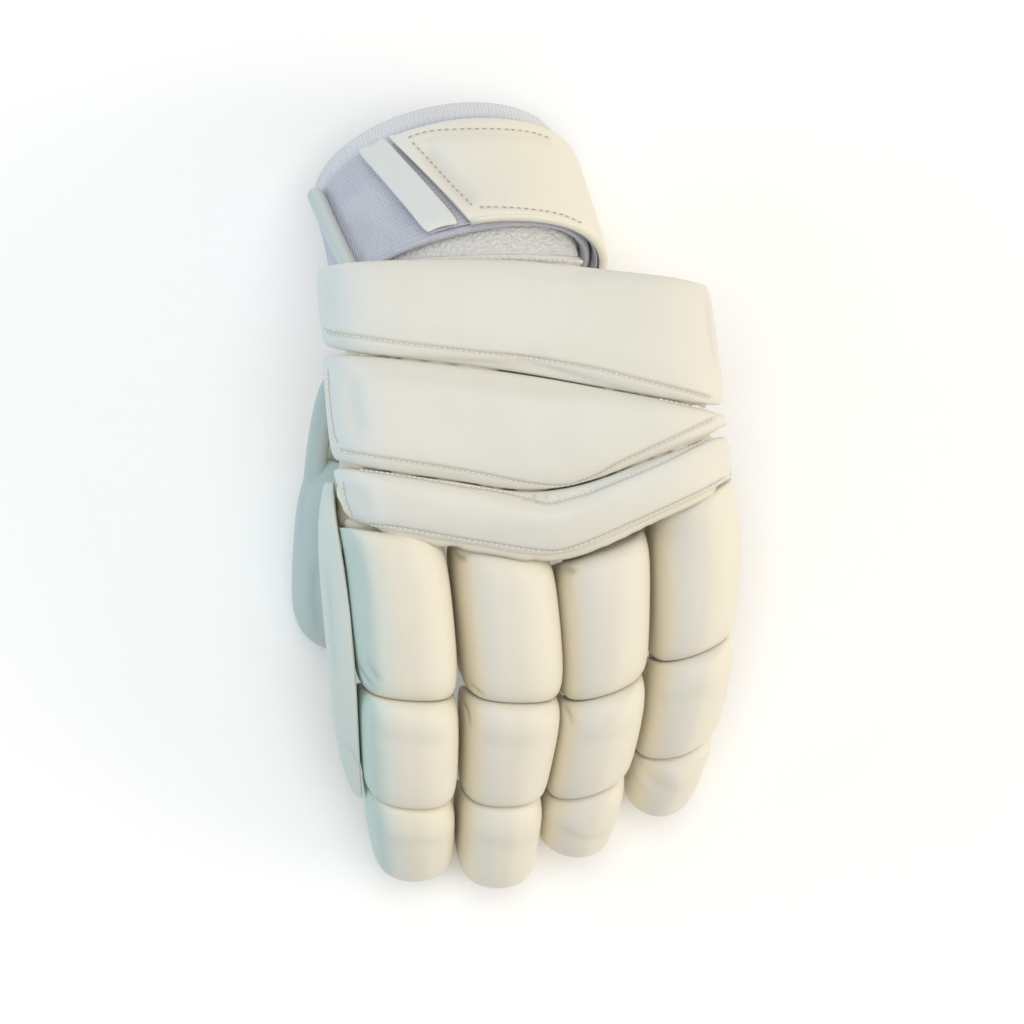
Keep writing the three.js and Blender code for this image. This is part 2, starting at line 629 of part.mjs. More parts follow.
// The glove
const glove = new THREE.Group();
const paths = fingers.map(fingerPath);

for (const path of paths) {
  const { row, ends } = path;
  const seam = CLEARANCE;
  const reachOf = (share) => share * FINGER_PITCH;
  const pads = [
    ["base", reachOf(row.start), ends[0] - seam, reachOf(row.slant_start), reachOf(row.slant_base), false],
    ["middle", ends[0] + seam, ends[1] - seam, reachOf(row.slant_base), reachOf(row.slant_middle), false],
    ["tip", ends[1] + seam, ends[2] + CLEARANCE, reachOf(row.slant_middle), 0, true],
  ];
  for (const [part, from, to, slantFrom, slantTo, isTip] of pads) {
    const geometry = padGeometry(path, from, to, slantFrom, slantTo, isTip);
    glove.add(meshOf(`${row.name}_pad_${part}`, geometry, colour.pad, 0.55));
  }
  glove.add(meshOf(`${row.name}_stall`, stallGeometry(path), colour.stall, 0.7));
}

PANELS.forEach((name, i) => glove.add(meshOf(name, panelGeometry(SEAMS[i], SEAMS[i + 1]), colour.cream, 0.5)));

const passage = solidOf(thumbPassage());
const hand = solidOf(handGeometry()).subtract(passage);
const thumb = solidOf(thumbGeometry()).subtract(solidOf(handFill()));
glove.add(meshOf("hand_shell", geometryOf(hand), colour.stall, 0.7));
glove.add(meshOf("thumb_stall", geometryOf(thumb), colour.stall, 0.7));
glove.add(meshOf("thumb_guard", thumbGuardGeometry(), colour.thumb, 0.55));
glove.add(meshOf("index_side_bar", sideBarGeometry(paths[0]), colour.thumb, 0.55));
glove.add(meshOf("wrist_band", bandGeometry(), colour.towel, 0.95));
glove.add(meshOf("cuff", cuffGeometry(), colour.knit, 0.9));
glove.add(meshOf("cuff_piping", pipingGeometry(), colour.piping, 0.45));
glove.add(meshOf("strap_base", strapLayer(strapBase, 0.6, WRAP_EASE, STRAP_THICKNESS, 15), colour.knit, 0.9));
glove.add(meshOf("strap_patch", strapLayer(strapPatch, 0, strapLift, PATCH_THICKNESS, 12), colour.patch, 0.5));
glove.add(meshOf("strap_bar", strapLayer(strapBar, 0, strapLift, PATCH_THICKNESS, 3), colour.bar, 0.4));

// The origin is the middle of the glove's footprint on the table.
const bounds = new THREE.Box3().setFromObject(glove);
const centre = bounds.getCenter(new THREE.Vector3());
for (const mesh of glove.children) mesh.position.set(-centre.x, -centre.y, -bounds.min.z);

export default glove;
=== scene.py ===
"""A left-hand cricket batting glove, lying palm down on a pale table and seen from above."""

import json
import logging
import math
from dataclasses import dataclass, field
from enum import Enum
from typing import Any

import bmesh
import bpy
import numpy as np
from mathutils import Matrix, Vector
from mathutils.bvhtree import BVHTree
from mathutils.kdtree import KDTree

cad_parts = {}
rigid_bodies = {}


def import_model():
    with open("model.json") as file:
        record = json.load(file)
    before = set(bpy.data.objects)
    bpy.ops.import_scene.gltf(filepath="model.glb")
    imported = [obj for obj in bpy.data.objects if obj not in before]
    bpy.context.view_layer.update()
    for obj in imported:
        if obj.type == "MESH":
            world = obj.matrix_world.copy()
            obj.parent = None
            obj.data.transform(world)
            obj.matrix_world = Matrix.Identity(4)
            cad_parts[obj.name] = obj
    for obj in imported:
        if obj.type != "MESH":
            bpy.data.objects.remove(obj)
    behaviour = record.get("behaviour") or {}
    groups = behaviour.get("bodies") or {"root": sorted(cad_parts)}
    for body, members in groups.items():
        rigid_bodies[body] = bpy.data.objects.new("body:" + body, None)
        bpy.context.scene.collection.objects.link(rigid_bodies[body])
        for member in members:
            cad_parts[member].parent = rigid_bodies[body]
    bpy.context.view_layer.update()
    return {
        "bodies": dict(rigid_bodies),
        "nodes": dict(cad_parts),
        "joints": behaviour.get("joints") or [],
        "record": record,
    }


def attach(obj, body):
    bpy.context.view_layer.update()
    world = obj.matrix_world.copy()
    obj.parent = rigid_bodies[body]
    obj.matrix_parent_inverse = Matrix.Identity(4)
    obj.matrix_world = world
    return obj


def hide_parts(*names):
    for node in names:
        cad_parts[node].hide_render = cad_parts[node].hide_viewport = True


log = logging.getLogger("glove")

MM = 0.001
Pixel = tuple[float, float]
Rgb = tuple[int, int, int]


class Slot(Enum):
    """The record's material slots."""

    PAD = "pad_leather"
    PANEL = "panel_leather"
    PALM = "palm_leather"
    SIDE = "side_leather"
    TOWEL = "towelling"
    KNIT = "knit"
    BAR = "strap_plastic"


# Shader expressions


class Value:
    """A number in a shader graph, taken from a socket, that Python's operators work on."""

    def __init__(self, graph: "Graph", socket: bpy.types.NodeSocket) -> None:
        """Wraps a socket of a graph."""
        self.graph = graph
        self.socket = socket

    def _math(self, operation: str, *values: "Value | float") -> "Value":
        """Adds a Math node.

        Args:
            operation: the node's operation.
            values: its inputs, in order.

        Returns:
            The node's result.
        """
        inputs = dict(enumerate(values))
        return self.graph.node("ShaderNodeMath", {"operation": operation}, inputs, 0)

    def __add__(self, other: "Value | float") -> "Value":
        """self + other."""
        return self._math("ADD", self, other)

    def __radd__(self, other: float) -> "Value":
        """other + self."""
        return self._math("ADD", other, self)

    def __sub__(self, other: "Value | float") -> "Value":
        """self - other."""
        return self._math("SUBTRACT", self, other)

    def __rsub__(self, other: float) -> "Value":
        """other - self."""
        return self._math("SUBTRACT", other, self)

    def __mul__(self, other: "Value | float") -> "Value":
        """self * other."""
        return self._math("MULTIPLY", self, other)

    def __rmul__(self, other: float) -> "Value":
        """other * self."""
        return self._math("MULTIPLY", other, self)

    def sine(self) -> "Value":
        """The sine of self."""
        return self._math("SINE", self)

    def absolute(self) -> "Value":
        """self without its sign."""
        return self._math("ABSOLUTE", self)

    def between(self, low: float, high: float) -> "Value":
        """A smooth step.

        Args:
            low: where it is still 0.
            high: where it has reached 1.

        Returns:
            The step.
        """
        settings = {"interpolation_type": "SMOOTHSTEP"}
        inputs = {"Value": self, "From Min": low, "From Max": high}
        return self.graph.node("ShaderNodeMapRange", settings, inputs, "Result")


class Graph:
    """The node graph of one material."""

    def __init__(self, name: str) -> None:
        """Starts an empty material.

        Args:
            name: the material's name.
        """
        self.material = bpy.data.materials.new(name)
        self.material.use_nodes = True
        self.tree = self.material.node_tree
        self.tree.nodes.clear()

    def node(
        self,
        kind: str,
        settings: dict[str, Any] | None = None,
        inputs: dict[str | int, Any] | None = None,
        output: str | int | None = None,
    ) -> Any:
        """Adds a node, sets it up and links it.

        Args:
            kind: the node's type.
            settings: its properties, which are set first.
            inputs: a number, colour or Value for each named or numbered socket.
            output: which output is wanted.

        Returns:
            The wanted output as a Value, or the node where no output is named.
        """
        made = self.tree.nodes.new(kind)
        for key, value in (settings or {}).items():
            setattr(made, key, value)
        for key, value in (inputs or {}).items():
            socket = self._pick(made.inputs, key)
            if isinstance(value, Value):
                self.tree.links.new(value.socket, socket)
            else:
                socket.default_value = value
        if output is None:
            return made
        return Value(self, self._pick(made.outputs, output))

    @staticmethod
    def _pick(sockets: Any, key: str | int) -> bpy.types.NodeSocket:
        """Finds a socket.

        Args:
            sockets: a node's inputs or outputs.
            key: the socket's number, identifier or name.

        Returns:
            The socket.
        """
        if isinstance(key, int):
            return sockets[key]
        for socket in sockets:
            if socket.identifier == key:
                return socket
        return sockets[key]

    def place(self) -> Value:
        """Object coordinates, in metres."""
        return self.node("ShaderNodeTexCoord", None, None, "Object")

    def noise(self, scale: float, detail: float = 3.0, roughness: float = 0.55) -> Value:
        """A noise pattern in object space.

        Args:
            scale: its repeats a metre.
            detail: how many finer layers it has.
            roughness: how strong they are.

        Returns:
            The pattern, from 0 to 1.
        """
        inputs = {"Vector": self.place(), "Scale": scale, "Detail": detail, "Roughness": roughness}
        return self.node("ShaderNodeTexNoise", None, inputs, 0)

    def cells(self, scale: float) -> Value:
        """Voronoi cells in object space: the distance to a cell's middle."""
        inputs = {"Vector": self.place(), "Scale": scale}
        return self.node("ShaderNodeTexVoronoi", {"feature": "F1"}, inputs, "Distance")

    def attribute(self, name: str) -> Value:
        """A number that a piece's own vertices carry."""
        return self.node("ShaderNodeAttribute", {"attribute_name": name}, None, "Fac")

    def mixed(self, share: Value | float, first: Any, second: Any) -> Value:
        """A colour between two others.

        Args:
            share: how much of the second there is.
            first: the first colour.
            second: the second colour.

        Returns:
            The mixed colour.
        """
        settings = {"data_type": "RGBA", "clamp_factor": True}
        inputs = {"Factor_Float": share, "A_Color": first, "B_Color": second}
        return self.node("ShaderNodeMix", settings, inputs, "Result_Color")

    def finish(
        self, colour: Value, rough: Value | float, height: Value, depth: float, **fixed: Any
    ) -> bpy.types.Material:
        """Closes the graph with a principled shader.

        Args:
            colour: the base colour.
            rough: the roughness.
            height: the relief, from 0 to 1.
            depth: the relief's depth in metres.
            fixed: other numbers and colours for the shader's own sockets, spaces as underscores.

        Returns:
            The material.
        """
        bump = {"Strength": 1.0, "Distance": depth, "Height": height}
        normal = self.node("ShaderNodeBump", None, bump, "Normal")
        inputs = {"Base Color": colour, "Roughness": rough, "Normal": normal}
        inputs.update({key.replace("_", " "): value for key, value in fixed.items()})
        shader = self.node("ShaderNodeBsdfPrincipled", None, inputs, "BSDF")
        self.node("ShaderNodeOutputMaterial", None, {"Surface": shader})
        return self.material


def linear(rgb: Rgb) -> tuple[float, float, float, float]:
    """A colour of 0 to 255 a channel as the renderer's linear light."""
    shares = [c / 255 for c in rgb]
    return (*[s / 12.92 if s <= 0.04045 else ((s + 0.055) / 1.055) ** 2.4 for s in shares], 1.0)


# Finishes


@dataclass(frozen=True)
class Leather:
    """Coated leather: a fine pebble grain and faint blotches, with painted shade in its seams and
    painted light and shade by which way it faces: cool grey and a shade colour toward the thumb side,
    a warm highlight away from it.
    """

    name: str
    face: Rgb
    blotch: Rgb
    # seam is painted shade for pressed seams and creases; side is a painted shade colour for steep
    # faces turned toward the thumb side, teal where it stands for cool light from that side.
    seam: Rgb
    side: Rgb
    side_shade_share: float = 0.6
    rough: float = 0.5
    grain: float = 0.00011
    # near is a painted cool shade on faces turned a little toward the thumb side; far is a painted
    # warm highlight on faces turned away from it.
    near: Rgb = (222, 219, 212)
    far: Rgb = (243, 237, 218)
    blotch_share: float = 0.75
    cool_shade_share: float = 0.8
    warm_highlight_share: float = 0.7
    seam_shade_share: float = 0.6
    blotches: float = 38.0
    pebbles: float = 950.0
    pores: float = 2600.0
    wrinkles: float = 130.0
    smears: float = 210.0
    gloss: float = 0.42

    def material(self) -> bpy.types.Material:
        """Builds the leather. Its numbers of blotches and so on are a metre.

        Returns:
            The material.
        """
        g = Graph(self.name)
        lean = g.attribute("lean")
        cloudy = g.noise(self.blotches, 3.0).between(0.35, 0.7)
        colour = g.mixed(cloudy * self.blotch_share, linear(self.face), linear(self.blotch))
        # Painted cool shade where the surface turns a little toward the thumb side.
        colour = g.mixed(lean.between(0.5, 0.62) * self.cool_shade_share, colour, linear(self.near))
        # Painted warm highlight where the surface turns away from the thumb side.
        colour = g.mixed((1 - lean).between(0.52, 0.68) * self.warm_highlight_share, colour, linear(self.far))
        # Painted shade colour on steep faces turned toward the thumb side.
        colour = g.mixed(lean.between(0.62, 0.86) * self.side_shade_share, colour, linear(self.side))
        # Painted shade in the pressed seams and creases.
        colour = g.mixed(g.attribute("fold") * self.seam_shade_share, colour, linear(self.seam))
        pebble = g.cells(self.pebbles)
        pore = g.noise(self.pores, 2.0)
        wrinkle = g.noise(self.wrinkles, 4.0, 0.6)
        height = pebble * 0.45 + pore * 0.2 + wrinkle * 0.6
        smear = g.noise(self.smears, 3.0) - 0.5
        rough = self.rough + 0.14 * smear + 0.12 * g.attribute("fold")
        return g.finish(colour, rough, height, self.grain, IOR=1.45, Specular_IOR_Level=self.gloss)


@dataclass(frozen=True)
class Knit:
    """Knitted cloth whose wales run along the cuff, with a ribbed rim. It paints shade between its
    wales, on faces turned toward the thumb side and in pressed creases.
    """

    name: str
    yarn: Rgb
    shade: Rgb
    rim: Rgb
    # crease is painted shade for pressed creases.
    crease_shade: Rgb = (150, 154, 166)
    wale: float = 0.95
    wander: float = 1.4
    wanders: float = 420.0
    relief: float = 0.00032

    def material(self) -> bpy.types.Material:
        """Builds the knit from the weave map: u is round the cuff and v along it, in centimetres.

        Returns:
            The material.
        """
        g = Graph(self.name)
        weave = g.node("ShaderNodeUVMap", {"uv_map": "weave"}, None, "UV")
        parts = g.node("ShaderNodeSeparateXYZ", None, {"Vector": weave})
        across = Value(g, parts.outputs["X"])
        along = Value(g, parts.outputs["Y"])
        turn = 2 * math.pi * 10 / self.wale
        wobble = (g.noise(self.wanders, 2.0) - 0.5) * self.wander
        column = (across * (turn / 2) + wobble).sine().absolute()
        course = (along * (turn * 0.55) + wobble).sine() * 0.5 + 0.5
        ribs = (across * (turn / 1.5) + wobble * 0.4).sine() * 0.5 + 0.5
        rim = g.attribute("rim")
        jersey = column * (course * 0.55 + 0.45)
        height = jersey * (1 - rim) + ribs * rim
        fuzz = g.noise(60.0, 4.0).between(0.3, 0.75)
        colour = g.mixed(fuzz * 0.55, linear(self.yarn), linear(self.shade))
        colour = g.mixed(rim * 0.85, colour, linear(self.rim))
        # Painted shade between the wales and courses.
        colour = g.mixed((1 - height) * 0.32, colour, linear(self.shade))
        # Painted shade on faces turned toward the thumb side.
        colour = g.mixed(g.attribute("lean").between(0.6, 0.95) * 0.5, colour, linear(self.shade))
        # Painted shade in pressed creases.
        colour = g.mixed(g.attribute("fold") * 0.5, colour, linear(self.crease_shade))
        return g.finish(colour, 0.92, height, self.relief, Sheen_Weight=0.25, Sheen_Roughness=0.5)


@dataclass(frozen=True)
class Towelling:
    """Terry cloth: small uneven loops, with painted shade in the hollows between them and on faces
    turned toward the thumb side.
    """

    name: str
    loop: Rgb
    # hollow is painted shade for the hollows between loops; shade is painted shade for faces turned
    # toward the thumb side.
    hollow_shade: Rgb
    shade: Rgb = (186, 192, 206)
    loops: float = 760.0
    relief: float = 0.0007

    def material(self) -> bpy.types.Material:
        """Builds the towelling.

        Returns:
            The material.
        """
        g = Graph(self.name)
        loops = g.cells(self.loops)
        height = (1 - loops) * 0.8 + g.noise(1500.0, 3.0) * 0.5
        # Painted shade in the hollows between loops, with a random tone from the noise.
        share = loops * 0.8 + (g.noise(300.0, 3.0) - 0.5) * 0.8
        colour = g.mixed(share, linear(self.loop), linear(self.hollow_shade))
        # Painted shade on faces turned toward the thumb side.
        turned = g.attribute("lean").between(0.6, 0.95)
        colour = g.mixed(turned * 0.4, colour, linear(self.shade))
        return g.finish(colour, 0.95, height, self.relief, Sheen_Weight=0.3, Sheen_Roughness=0.6)


@dataclass(frozen=True)
class Thread:
    """Twisted sewing thread."""

    name: str
    strand: Rgb
    gap: Rgb
    twists: float = 3200.0
    relief: float = 0.00015

    def material(self) -> bpy.types.Material:
        """Builds the thread.

        Returns:
            The material.
        """
        g = Graph(self.name)
        twist = g.noise(self.twists, 2.0)
        colour = g.mixed(twist.between(0.4, 0.75), linear(self.strand), linear(self.gap))
        return g.finish(colour, 0.6, twist, self.relief)


@dataclass(frozen=True)
class TableTop:
    """The plain pale floor."""

    name: str
    paint: Rgb
    cloud: Rgb = (252, 252, 252)
    clouds: float = 3.0
    rough: float = 0.8
    glow: float = 0.07

    def material(self) -> bpy.types.Material:
        """Builds the floor's finish.

        Returns:
            The material.
        """
        g = Graph(self.name)
        cloudy = g.noise(self.clouds, 2.0)
        colour = g.mixed(cloudy * 0.1, linear(self.paint), linear(self.cloud))
        shine = {"Emission_Color": (1.0, 1.0, 1.0, 1.0), "Emission_Strength": self.glow}
        return g.finish(colour, self.rough, cloudy, 0.0001, Specular_IOR_Level=0.1, **shine)


class Finishes:
    """Every finish of the glove, built once."""

    def __init__(self) -> None:
        """Builds the materials."""
        # The tan is painted shade for the steep sides of the pads, the teal painted cool light for the
        # index pads' sides, and the groove colour painted shade in pressed seams. Each leather's near,
        # far and side colours are painted light and shade by facing.
        tan_side_shade = (238, 228, 202)
        teal_side_light = (176, 199, 194)
        groove_shade = (172, 164, 146)
        self.panel = Leather(
            "panel leather", face=(229, 227, 217), blotch=(224, 222, 213), seam=groove_shade,
            side=(196, 208, 210), near=(226, 227, 223), far=(238, 233, 218),
        ).material()
        self.pad = Leather(
            "pad leather", face=(233, 227, 213), blotch=(227, 222, 209), seam=groove_shade, side=tan_side_shade,
            side_shade_share=0.8, near=(227, 224, 214),
        ).material()
        # The index pads are a copy of the pad leather with teal painted light on their sides and
        # darker painted shade in their seams.
        self.index_pad = Leather(
            "index pad leather", face=(234, 228, 212), blotch=(227, 222, 208),
            seam=(150, 156, 146), side=teal_side_light, side_shade_share=0.85, near=(222, 224, 214),
        ).material()
        self.palm = Leather(
            "palm leather", face=(222, 216, 200), blotch=(208, 202, 186), seam=(160, 148, 122),
            side=(196, 190, 170), side_shade_share=0.4, rough=0.62, grain=0.00016,
            near=(214, 209, 195), far=(226, 220, 203),
        ).material()
        # The thumb guard is cream leather painted in a teal-grey shade, as it faces the thumb side.
        self.guard = Leather(
            "guard leather", face=(196, 206, 202), blotch=(186, 198, 196), seam=(128, 146, 146),
            side=(166, 186, 188), near=(188, 202, 200), far=(202, 209, 201),
        ).material()
        # The index side bar is cream leather painted in a grey-green shade, as it faces the thumb
        # side.
        self.side = Leather(
            "side leather", face=(216, 221, 214), blotch=(208, 215, 209), seam=(150, 164, 160),
            side=(190, 206, 204), near=(210, 217, 211), far=(222, 224, 213),
        ).material()
        self.patch = Leather(
            "patch leather", face=(238, 234, 221), blotch=(233, 229, 216), seam=(186, 180, 166),
            side=(214, 212, 208), side_shade_share=0.5, rough=0.55, near=(230, 229, 224),
            far=(243, 237, 217),
        ).material()
        self.bar = Leather(
            "bar leather", face=(227, 227, 222), blotch=(221, 222, 219), seam=(176, 182, 180),
            side=(196, 200, 196), side_shade_share=0.5, grain=0.00008, near=(222, 224, 222),
            far=(230, 228, 220),
        ).material()
        # The piping is cream leather painted in a teal-grey shade, as it faces the thumb side.
        self.piping = Leather(
            "piping leather", face=(208, 216, 214), blotch=(200, 209, 208),
            seam=(140, 154, 158), side=(178, 192, 195), rough=0.45, grain=0.00005,
            near=(200, 210, 210), far=(200, 204, 198),
        ).material()
        self.knit = Knit(
            "cuff knit", yarn=(213, 215, 225), shade=(187, 191, 206), rim=(243, 241, 241)
        ).material()
        self.strap_knit = Knit(
            "strap knit", yarn=(212, 213, 223), shade=(184, 188, 203), rim=(226, 226, 230)
        ).material()
        self.towel = Towelling(
            "wrist towelling", loop=(242, 240, 236), hollow_shade=(216, 214, 211)
        ).material()
        self.thread = Thread("cream thread", strand=(246, 244, 237), gap=(222, 219, 209)).material()
        self.dark_thread = Thread(
            "grey thread", strand=(176, 168, 152), gap=(150, 143, 130)
        ).material()


# The camera and what it sees


@dataclass(frozen=True)
class Lens:
    """The camera straight above the table, and the photograph's pixels seen through it."""

    x: float = -0.88 * MM
    y: float = -5.4 * MM
    plane: float = 85 * MM
    distance: float = 2000 * MM
    pixel: float = 0.36 * MM
    frame: int = 1024
    sensor: float = 36.0

    @property
    def eye(self) -> Vector:
        """Where the camera is."""
        return Vector((self.x, self.y, self.plane + self.distance))

    @property
    def focal(self) -> float:
        """The focal length in millimetres."""
        return self.sensor * self.distance / (self.frame * self.pixel)

    def ray(self, pixel: Pixel) -> Vector:
        """The direction that a pixel looks in.

        Args:
            pixel: its place in the photograph, from the top left.

        Returns:
            The direction, one metre long.
        """
        across = (pixel[0] - self.frame / 2) * self.pixel
        down = (pixel[1] - self.frame / 2) * self.pixel
        return Vector((across, -down, -self.distance)).normalized()

    def at_height(self, pixel: Pixel, height: float) -> Vector:
        """The point that a pixel sees at a height in metres."""
        ray = self.ray(pixel)
        return self.eye + ray * ((height - self.eye.z) / ray.z)

    def camera(self) -> None:
        """Makes the scene's camera."""
        data = bpy.data.cameras.new("camera")
        data.sensor_width = self.sensor
        data.lens = self.focal
        data.clip_start = 0.05
        data.clip_end = 50.0
        camera = bpy.data.objects.new("camera", data)
        camera.location = self.eye
        bpy.context.scene.collection.objects.link(camera)
        bpy.context.scene.camera = camera


LENS = Lens()


@dataclass(frozen=True)
class Spot:
    """A point on a surface."""

    at: Vector
    normal: Vector


def along(route: tuple[Pixel, ...], step: float = 1.2) -> list[Pixel]:
    """A smooth line of pixels through a few of them.

    Args:
        route: the pixels that it passes through.
        step: the gap between its points, in pixels.

    Returns:
        The line's points.
    """
    points = [Vector(p) for p in route]
    ends = [points[0] * 2 - points[1], *points, points[-1] * 2 - points[-2]]
    line = []
    for before, start, stop, after in zip(ends, ends[1:], ends[2:], ends[3:]):
        count = max(1, round((stop - start).length / step))
        for i in range(count):
            t = i / count
            bend = 2 * before - 5 * start + 4 * stop - after
            twist = 3 * start - before - 3 * stop + after
            line.append(0.5 * (2 * start + (stop - before) * t + bend * t**2 + twist * t**3))
    line.append(points[-1])
    return [tuple(p) for p in line]


class Surface:
    """The outside of a finished piece, for rays to land on."""

    FACES_UP = 0.12

    def __init__(self, piece: bpy.types.Object) -> None:
        """Reads a piece's mesh.

        Args:
            piece: the piece.
        """
        mesh = piece.data
        corners = [v.co.copy() for v in mesh.vertices]
        self.tree = BVHTree.FromPolygons(corners, [tuple(p.vertices) for p in mesh.polygons])

    def seen(self, pixel: Pixel) -> Spot | None:
        """What a pixel of the photograph sees of the surface."""
        at, normal, _, _ = self.tree.ray_cast(LENS.eye, LENS.ray(pixel))
        return Spot(at, normal) if at else None

    def trace(self, route: tuple[Pixel, ...]) -> list[Spot]:
        """A line of pixels laid on the surface.

        Args:
            route: pixels that the line passes through.

        Returns:
            The places where it meets the surface from above.
        """
        spots = [self.seen(p) for p in along(route)]
        return [s for s in spots if s and s.normal.z > self.FACES_UP]


# Shaping soft pieces


@dataclass(frozen=True)
class Padding:
    """How a stuffed piece is made: its mesh, and how far its filling lifts it, in metres."""

    crown: float = 1.6 * MM
    snug: float = 0.12 * MM
    pressure: float = 4.0
    coarse: int = 2
    finer: int = 1


@dataclass(frozen=True)
class Mark:
    """A line in a surface. width and depth are in millimetres, and a depth below 0 stands up. The last
    number is how strongly painted shade darkens a pressed line.
    """

    route: tuple[Pixel, ...]
    width: float
    depth: float
    fade: float = 0.12
    tone: float = 1.0


def from_bmesh(name: str, bm: bmesh.types.BMesh) -> bpy.types.Object:
    """Makes a bmesh an object of the scene, and frees it.

    Args:
        name: the object's name.
        bm: the bmesh.

    Returns:
        The object.
    """
    mesh = bpy.data.meshes.new(name)
    bm.to_mesh(mesh)
    bm.free()
    mesh.shade_smooth()
    piece = bpy.data.objects.new(name, mesh)
    bpy.context.scene.collection.objects.link(piece)
    return piece


def applied(piece: bpy.types.Object) -> None:
    """Applies every modifier of a piece.

    Args:
        piece: the piece.
    """
    graph = bpy.context.evaluated_depsgraph_get()
    mesh = bpy.data.meshes.new_from_object(piece.evaluated_get(graph))
    piece.modifiers.clear()
    old = piece.data
    piece.data = mesh
    bpy.data.meshes.remove(old)
    piece.data.name = piece.name


def subdivide(piece: bpy.types.Object, levels: int) -> None:
    """Adds a Subdivision Surface modifier, the same in every view.

    Args:
        piece: the piece.
        levels: how many times it divides the faces.
    """
    finer = piece.modifiers.new("finer", "SUBSURF")
    finer.levels = levels
    finer.render_levels = levels


def vertex_rows(mesh: bpy.types.Mesh, name: str) -> np.ndarray:
    """A vector of each vertex.

    Args:
        mesh: the mesh.
        name: the vector's name.

    Returns:
        A row of x, y, z for each vertex.
    """
    values = np.empty(len(mesh.vertices) * 3)
    mesh.vertices.foreach_get(name, values)
    return values.reshape(-1, 3)


def coordinates(mesh: bpy.types.Mesh) -> np.ndarray:
    """The vertices of a mesh as rows of x, y, z."""
    return vertex_rows(mesh, "co")


def normals(mesh: bpy.types.Mesh) -> np.ndarray:
    """The vertex normals of a mesh as rows of x, y, z."""
    return vertex_rows(mesh, "normal")


def reshape(mesh: bpy.types.Mesh, co: np.ndarray) -> None:
    """Moves the vertices of a mesh to new places."""
    mesh.vertices.foreach_set("co", co.ravel())
    mesh.update()


def paint(mesh: bpy.types.Mesh, name: str, values: np.ndarray) -> None:
    """Stores a number on each vertex, for the materials."""
    layer = mesh.attributes.get(name) or mesh.attributes.new(name, "FLOAT", "POINT")
    layer.data.foreach_set("value", np.clip(values, 0, 1).astype(np.float32))


